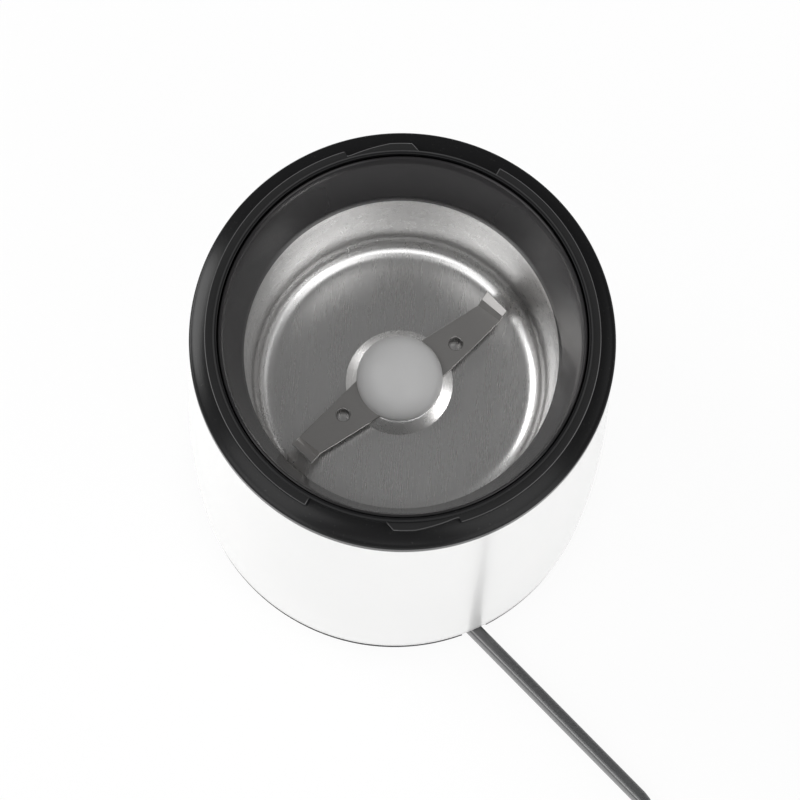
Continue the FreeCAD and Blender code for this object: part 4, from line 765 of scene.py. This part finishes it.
def makeBladeHub():
    low, high = blade["low"], blade["low"] + blade["thick"] - blade["hubDrop"]  # clear of the arms' tops
    hub = turnedPiece("bladeHub", [(blade["bore"], low), (blade["hub"], low), (blade["hub"], high),
                                   (blade["bore"], high), (blade["bore"], low)], blade["hubAround"])
    softEdges(hub, 0.12, 40, 2)
    shadeSmooth(hub, 30)
    wear(hub, "bladeSteel")
    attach(hub, "rotor")
    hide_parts("blade")


makeArm("bladeArmRight", 0)
makeArm("bladeArmLeft", 180)
makeBladeHub()

cap = {
    "radius": 9.3, "low": 81.7, "sideTop": 82.8, "top": 87.1, "domeSteps": 18,
    "hollow": 4.3, "hollowTop": 85.2, "foot": 0.2, "around": 128,
}


def makeCap():
    profile = [(cap["hollow"], cap["low"]), (cap["radius"] - cap["foot"], cap["low"]),
               (cap["radius"], cap["low"] + cap["foot"])]
    rise = cap["top"] - cap["sideTop"]
    for i in range(cap["domeSteps"] + 1):
        angle = math.pi / 2 * i / cap["domeSteps"]
        profile.append((cap["radius"] * math.cos(angle), cap["sideTop"] + rise * math.sin(angle)))
    top = turnedPiece("hubCap", profile, cap["around"])
    inside = turnedPiece("hubCapInside", [(cap["hollow"], cap["low"]), (cap["hollow"], cap["hollowTop"]),
                                          (0.0, cap["hollowTop"])], cap["around"])
    deselectAll()
    inside.select_set(True)
    top.select_set(True)
    bpy.context.view_layer.objects.active = top
    bpy.ops.object.join()
    cleanShell(top)
    shadeSmooth(top, 35)
    wear(top, "capGrey")
    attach(top, "rotor")
    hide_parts("hub_cap")


makeCap()
print("bowl, blade and cap done")

# Flat twin cord: one spline from the base through the coil to the plug
cord = {
    "exit": (20.275, -38.21), "heading": -41.4, "height": 2.2, "width": 4.4, "thick": 2.8,
    "runOne": 58.0, "bend": 25.0, "runTwo": 31.0,
    "coilRadius": 30.0, "pitch": 5.0, "layerStep": 5.0, "turnsIn": 2.5, "turnsOut": 2.3,
    "tiltSeen": 97.5, "tiltCoil": 90.0, "tiltFrom": 56.0, "tiltOver": 30.0,
    "pointsPerTurn": 24, "straightenBy": 7, "edgeRound": 1.0, "cornerSteps": 6,
    # the last four values place and colour the painted highlight along the cord's upper edge
    "paintedHighlightFrom": 300, "paintedHighlightTo": 330, "ridgeHighlightColour": (0.42, 0.42, 0.42), "ridgeHighlightStrength": 0.8,
}


def paintRidgeHighlight(material, colour, strength):
    # painted highlight: a pale band is painted into the sleeve colour along the cord's upper edge, standing
    # in for the highlight the lamps don't give there
    tree = material.node_tree
    shader = tree.nodes["Principled BSDF"]
    mark = addNode(tree, "ShaderNodeAttribute", attribute_name="paintedHighlight")
    mix = addNode(tree, "ShaderNodeMixRGB")
    mix.inputs["Color2"].default_value = (*colour, 1)
    tree.links.new(mathNode(tree, "MULTIPLY", mark.outputs["Fac"], strength), mix.inputs["Fac"])
    tree.links.new(shader.inputs["Base Color"].links[0].from_socket, mix.inputs["Color1"])
    tree.links.new(mix.outputs[0], shader.inputs["Base Color"])


# paints a highlight into the cord sleeve's colour along its upper edge
paintRidgeHighlight(finishes["cordSleeve"], cord["ridgeHighlightColour"], cord["ridgeHighlightStrength"])


def cordRoute():
    c = cord
    heading = math.radians(c["heading"])
    ahead = Vector((math.cos(heading), math.sin(heading), 0))
    start = Vector((*c["exit"], c["height"]))
    corner = start + ahead * c["runOne"]
    second = heading - math.radians(c["bend"])
    aheadTwo = Vector((math.cos(second), math.sin(second), 0))
    freeEnd = corner + aheadTwo * c["runTwo"]
    points = [start, start + ahead * (c["runOne"] - c["straightenBy"]), corner, freeEnd]
    slope = c["pitch"] / tau
    enter = freeEnd + aheadTwo * c["width"]
    startAngle = second + math.pi / 2 + math.atan(slope / c["coilRadius"])
    centre = enter - Vector((math.cos(startAngle), math.sin(startAngle), 0)) * c["coilRadius"]
    phaseIn = tau * c["turnsIn"]
    phaseTop = phaseIn + math.pi
    innerRadius = c["coilRadius"] - slope * phaseIn
    endPhase = phaseTop + tau * c["turnsOut"]
    endRadius = innerRadius + slope * (endPhase - phaseTop)
    leave = -math.pi / 2 - math.atan(slope / endRadius)
    whole = round((startAngle - endPhase - leave) / tau)
    endPhase = startAngle - leave - tau * whole
    count = int(endPhase / tau * c["pointsPerTurn"])
    for i in range(count + 1):
        phase = endPhase * i / count
        height = c["height"]
        if phase <= phaseIn:
            radius = c["coilRadius"] - slope * phase
        elif phase >= phaseTop:
            radius = innerRadius + slope * (phase - phaseTop)
            height += c["layerStep"]
        else:
            u = phase - phaseIn
            radius = innerRadius - slope * u + slope * u * u / math.pi
            height += c["layerStep"] * (1 - math.cos(u)) / 2
        angle = startAngle - phase
        spot = Vector((math.cos(angle), math.sin(angle), 0)) * radius
        points.append(Vector((centre.x + spot.x, centre.y + spot.y, height)))
    points.append(points[-1] + Vector((-c["width"], 0, 0)))
    return points


def makeCord():
    data = bpy.data.curves.new("cordLine", "CURVE")
    data.dimensions = "3D"
    data.resolution_u = 6
    spline = data.splines.new("NURBS")
    route = cordRoute()
    spline.points.add(len(route) - 1)
    for point, spot in zip(spline.points, route):
        point.co = (*(spot * mm), 1)
    spline.order_u = 3
    spline.use_endpoint_u = True
    line = bpy.data.objects.new("cordLine", data)
    bpy.context.scene.collection.objects.link(line)
    bpy.context.view_layer.update()
    traced = bpy.data.meshes.new_from_object(line)
    path = [vertex.co.copy() for vertex in traced.vertices]
    bpy.data.objects.remove(line)
    bpy.data.meshes.remove(traced)
    lengths = [0.0]
    for a, b in zip(path, path[1:]):
        lengths.append(lengths[-1] + (b - a).length)
    edge, corners = cord["edgeRound"], cord["cornerSteps"]
    halfWide, halfFlat = cord["width"] / 2 - edge, cord["thick"] / 2 - edge
    section = []
    # points of the section that take the painted highlight
    onPaintedHighlight = []
    for quarter, (x, y) in enumerate(((1, 1), (-1, 1), (-1, -1), (1, -1))):
        centre = (x * halfWide, y * halfFlat)
        section += arcPoints(centre, edge, quarter * 90, quarter * 90 + 90, corners)
        onPaintedHighlight += [cord["paintedHighlightFrom"] < (quarter + step / corners) * 90 < cord["paintedHighlightTo"]
                    for step in range(corners + 1)]
    around = len(section)
    vertices = []
    faces = []
    for i, spot in enumerate(path):
        ahead = (path[min(i + 1, len(path) - 1)] - path[max(i - 1, 0)]).normalized()
        side = ahead.cross(Vector((0, 0, 1))).normalized()
        up = side.cross(ahead)
        share = min(max((lengths[i] / mm - cord["tiltFrom"]) / cord["tiltOver"], 0), 1)
        share = share * share * (3 - 2 * share)
        tilt = math.radians(cord["tiltSeen"] + (cord["tiltCoil"] - cord["tiltSeen"]) * share)
        wide = side * math.cos(tilt) + up * math.sin(tilt)
        flat = up * math.cos(tilt) - side * math.sin(tilt)
        reach = halfWide * abs(math.sin(tilt)) + halfFlat * abs(math.cos(tilt)) + edge
        lift = Vector((0, 0, max(reach - cord["height"], 0)))  # keeps a turned section off the floor
        for across, over in section:
            vertices.append(spot + (wide * across + flat * over + lift) * mm)
        if i:
            a, b = (i - 1) * around, i * around
            for j in range(around):
                k = (j + 1) % around
                faces.append((a + j, a + k, b + k, b + j))
    faces.append(tuple(range(around)))
    faces.append(tuple(reversed(range(len(vertices) - around, len(vertices)))))
    mesh = bpy.data.meshes.new("flatCord")
    mesh.from_pydata([tuple(v) for v in vertices], [], faces)
    # marks the section's upper edge where the highlight is painted
    paintedHighlight = mesh.attributes.new("paintedHighlight", "FLOAT", "POINT")
    for i, place in enumerate(paintedHighlight.data):
        place.value = 1.0 if onPaintedHighlight[i % around] else 0.0
    flatCord = bpy.data.objects.new("flatCord", mesh)
    bpy.context.scene.collection.objects.link(flatCord)
    cleanShell(flatCord, fineMerge / 2)
    shadeSmooth(flatCord, 60)
    wear(flatCord, "cordSleeve")
    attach(flatCord, "body")
    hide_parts("cord_free", "cord_coil")
    print("cord length", round(lengths[-1], 4))


makeCord()
print("cord done")

# Pale floor and soft studio light
studio = {
    "lowBand": 0.6, "lowBandFrom": 0.16, "lowBandTo": 0.11,
    "horizon": 0.93, "zenith": 0.19, "darkFrom": 0.82, "brightFrom": 0.72,
    "backFrom": 0.2, "backDrop": 0.6, "aim": (0, 0, 0.1),
    "floorSize": 6, "floorHeight": -0.0002, "floorRoughness": 0.8, "floorGlow": 0.93,
    "floorTones": (0.89, 0.91), "speckle": 30,
    "lamps": {
        "frontStrip": {"place": (0, -0.76, 1.06), "size": (1.2, 0.25), "power": 1.8},
        "leftBox": {"place": (-0.85, 0.3, 0.9), "size": (0.5, 0.5), "power": 5.5},
        "rightFrontBox": {"place": (0.75, -0.5, 0.8), "size": (0.35, 0.35), "power": 1.2},
        "highLeftBox": {"place": (-0.47, -0.34, 1.28), "size": (0.45, 0.45), "power": 1.5},
        "highRightBox": {"place": (0.47, -0.34, 1.28), "size": (0.45, 0.45), "power": 1.4},
    },
}


def makeFloor():
    deselectAll()
    bpy.ops.mesh.primitive_plane_add(size=studio["floorSize"], location=(0, 0, studio["floorHeight"]))
    floor = bpy.context.object
    floor.name = "studioFloor"
    applyPlace(floor)
    material = newMaterial("studioFloor", (0.9, 0.9, 0.9), studio["floorRoughness"])
    tree = material.node_tree
    shader = tree.nodes["Principled BSDF"]
    output = tree.nodes["Material Output"]
    speckle = addNode(tree, "ShaderNodeTexNoise")
    speckle.inputs["Scale"].default_value = studio["speckle"]
    ramp = addNode(tree, "ShaderNodeMixRGB")
    for socket, tone in zip(("Color1", "Color2"), studio["floorTones"]):
        ramp.inputs[socket].default_value = (tone, tone, tone, 1)
    tree.links.new(speckle.outputs["Fac"], ramp.inputs["Fac"])
    tree.links.new(ramp.outputs[0], shader.inputs["Base Color"])
    glow = addNode(tree, "ShaderNodeEmission")
    glow.inputs["Strength"].default_value = 1.0
    rays = addNode(tree, "ShaderNodeLightPath")
    mirrored = mathNode(tree, "MAXIMUM", rays.outputs["Is Glossy Ray"], rays.outputs["Is Transmission Ray"])
    seen = mathNode(tree, "MAXIMUM", rays.outputs["Is Camera Ray"], mirrored)
    mix = addNode(tree, "ShaderNodeMixShader")
    tree.links.new(mathNode(tree, "MULTIPLY", seen, studio["floorGlow"]), mix.inputs[0])
    tree.links.new(shader.outputs[0], mix.inputs[1])
    tree.links.new(glow.outputs[0], mix.inputs[2])
    tree.links.new(mix.outputs[0], output.inputs["Surface"])
    floor.data.materials.append(material)


def addSoftbox(name, setup):
    data = bpy.data.lights.new(name, "AREA")
    data.shape = "RECTANGLE"
    data.size, data.size_y = setup["size"]
    data.energy = setup["power"]
    lamp = bpy.data.objects.new(name, data)
    bpy.context.scene.collection.objects.link(lamp)
    lamp.location = setup["place"]
    aim = Vector(studio["aim"]) - Vector(setup["place"])
    lamp.rotation_euler = aim.to_track_quat("-Z", "Y").to_euler()


def makeLight():
    world = bpy.data.worlds.new("studio")
    bpy.context.scene.world = world
    world.use_nodes = True
    tree = world.node_tree
    back = tree.nodes["Background"]
    place = addNode(tree, "ShaderNodeTexCoord")
    split = addNode(tree, "ShaderNodeSeparateXYZ")
    fade = addNode(tree, "ShaderNodeMapRange", interpolation_type="SMOOTHSTEP")
    fade.inputs["From Min"].default_value = studio["brightFrom"]
    fade.inputs["From Max"].default_value = studio["darkFrom"]
    fade.inputs["To Min"].default_value = studio["horizon"]
    fade.inputs["To Max"].default_value = studio["zenith"]
    tree.links.new(place.outputs["Generated"], split.inputs[0])
    pastBack = mathNode(tree, "SUBTRACT", split.outputs["Y"], studio["backFrom"])
    lowered = mathNode(tree, "MULTIPLY", mathNode(tree, "MAXIMUM", pastBack, 0.0), studio["backDrop"])
    raised = mathNode(tree, "ADD", split.outputs["Z"], lowered)
    tree.links.new(raised, fade.inputs["Value"])
    band = addNode(tree, "ShaderNodeMapRange", interpolation_type="SMOOTHSTEP")
    band.inputs["From Min"].default_value = studio["lowBandFrom"]
    band.inputs["From Max"].default_value = studio["lowBandTo"]
    band.inputs["To Min"].default_value = 0
    band.inputs["To Max"].default_value = studio["lowBand"]
    tree.links.new(split.outputs["Z"], band.inputs["Value"])
    tree.links.new(mathNode(tree, "ADD", fade.outputs["Result"], band.outputs["Result"]),
                   back.inputs["Strength"])
    back.inputs["Color"].default_value = (1, 1, 1, 1)
    for name, setup in studio["lamps"].items():
        addSoftbox(name, setup)


makeFloor()
makeLight()
print("studio done")
bpy.context.scene.view_settings.view_transform = "Standard"
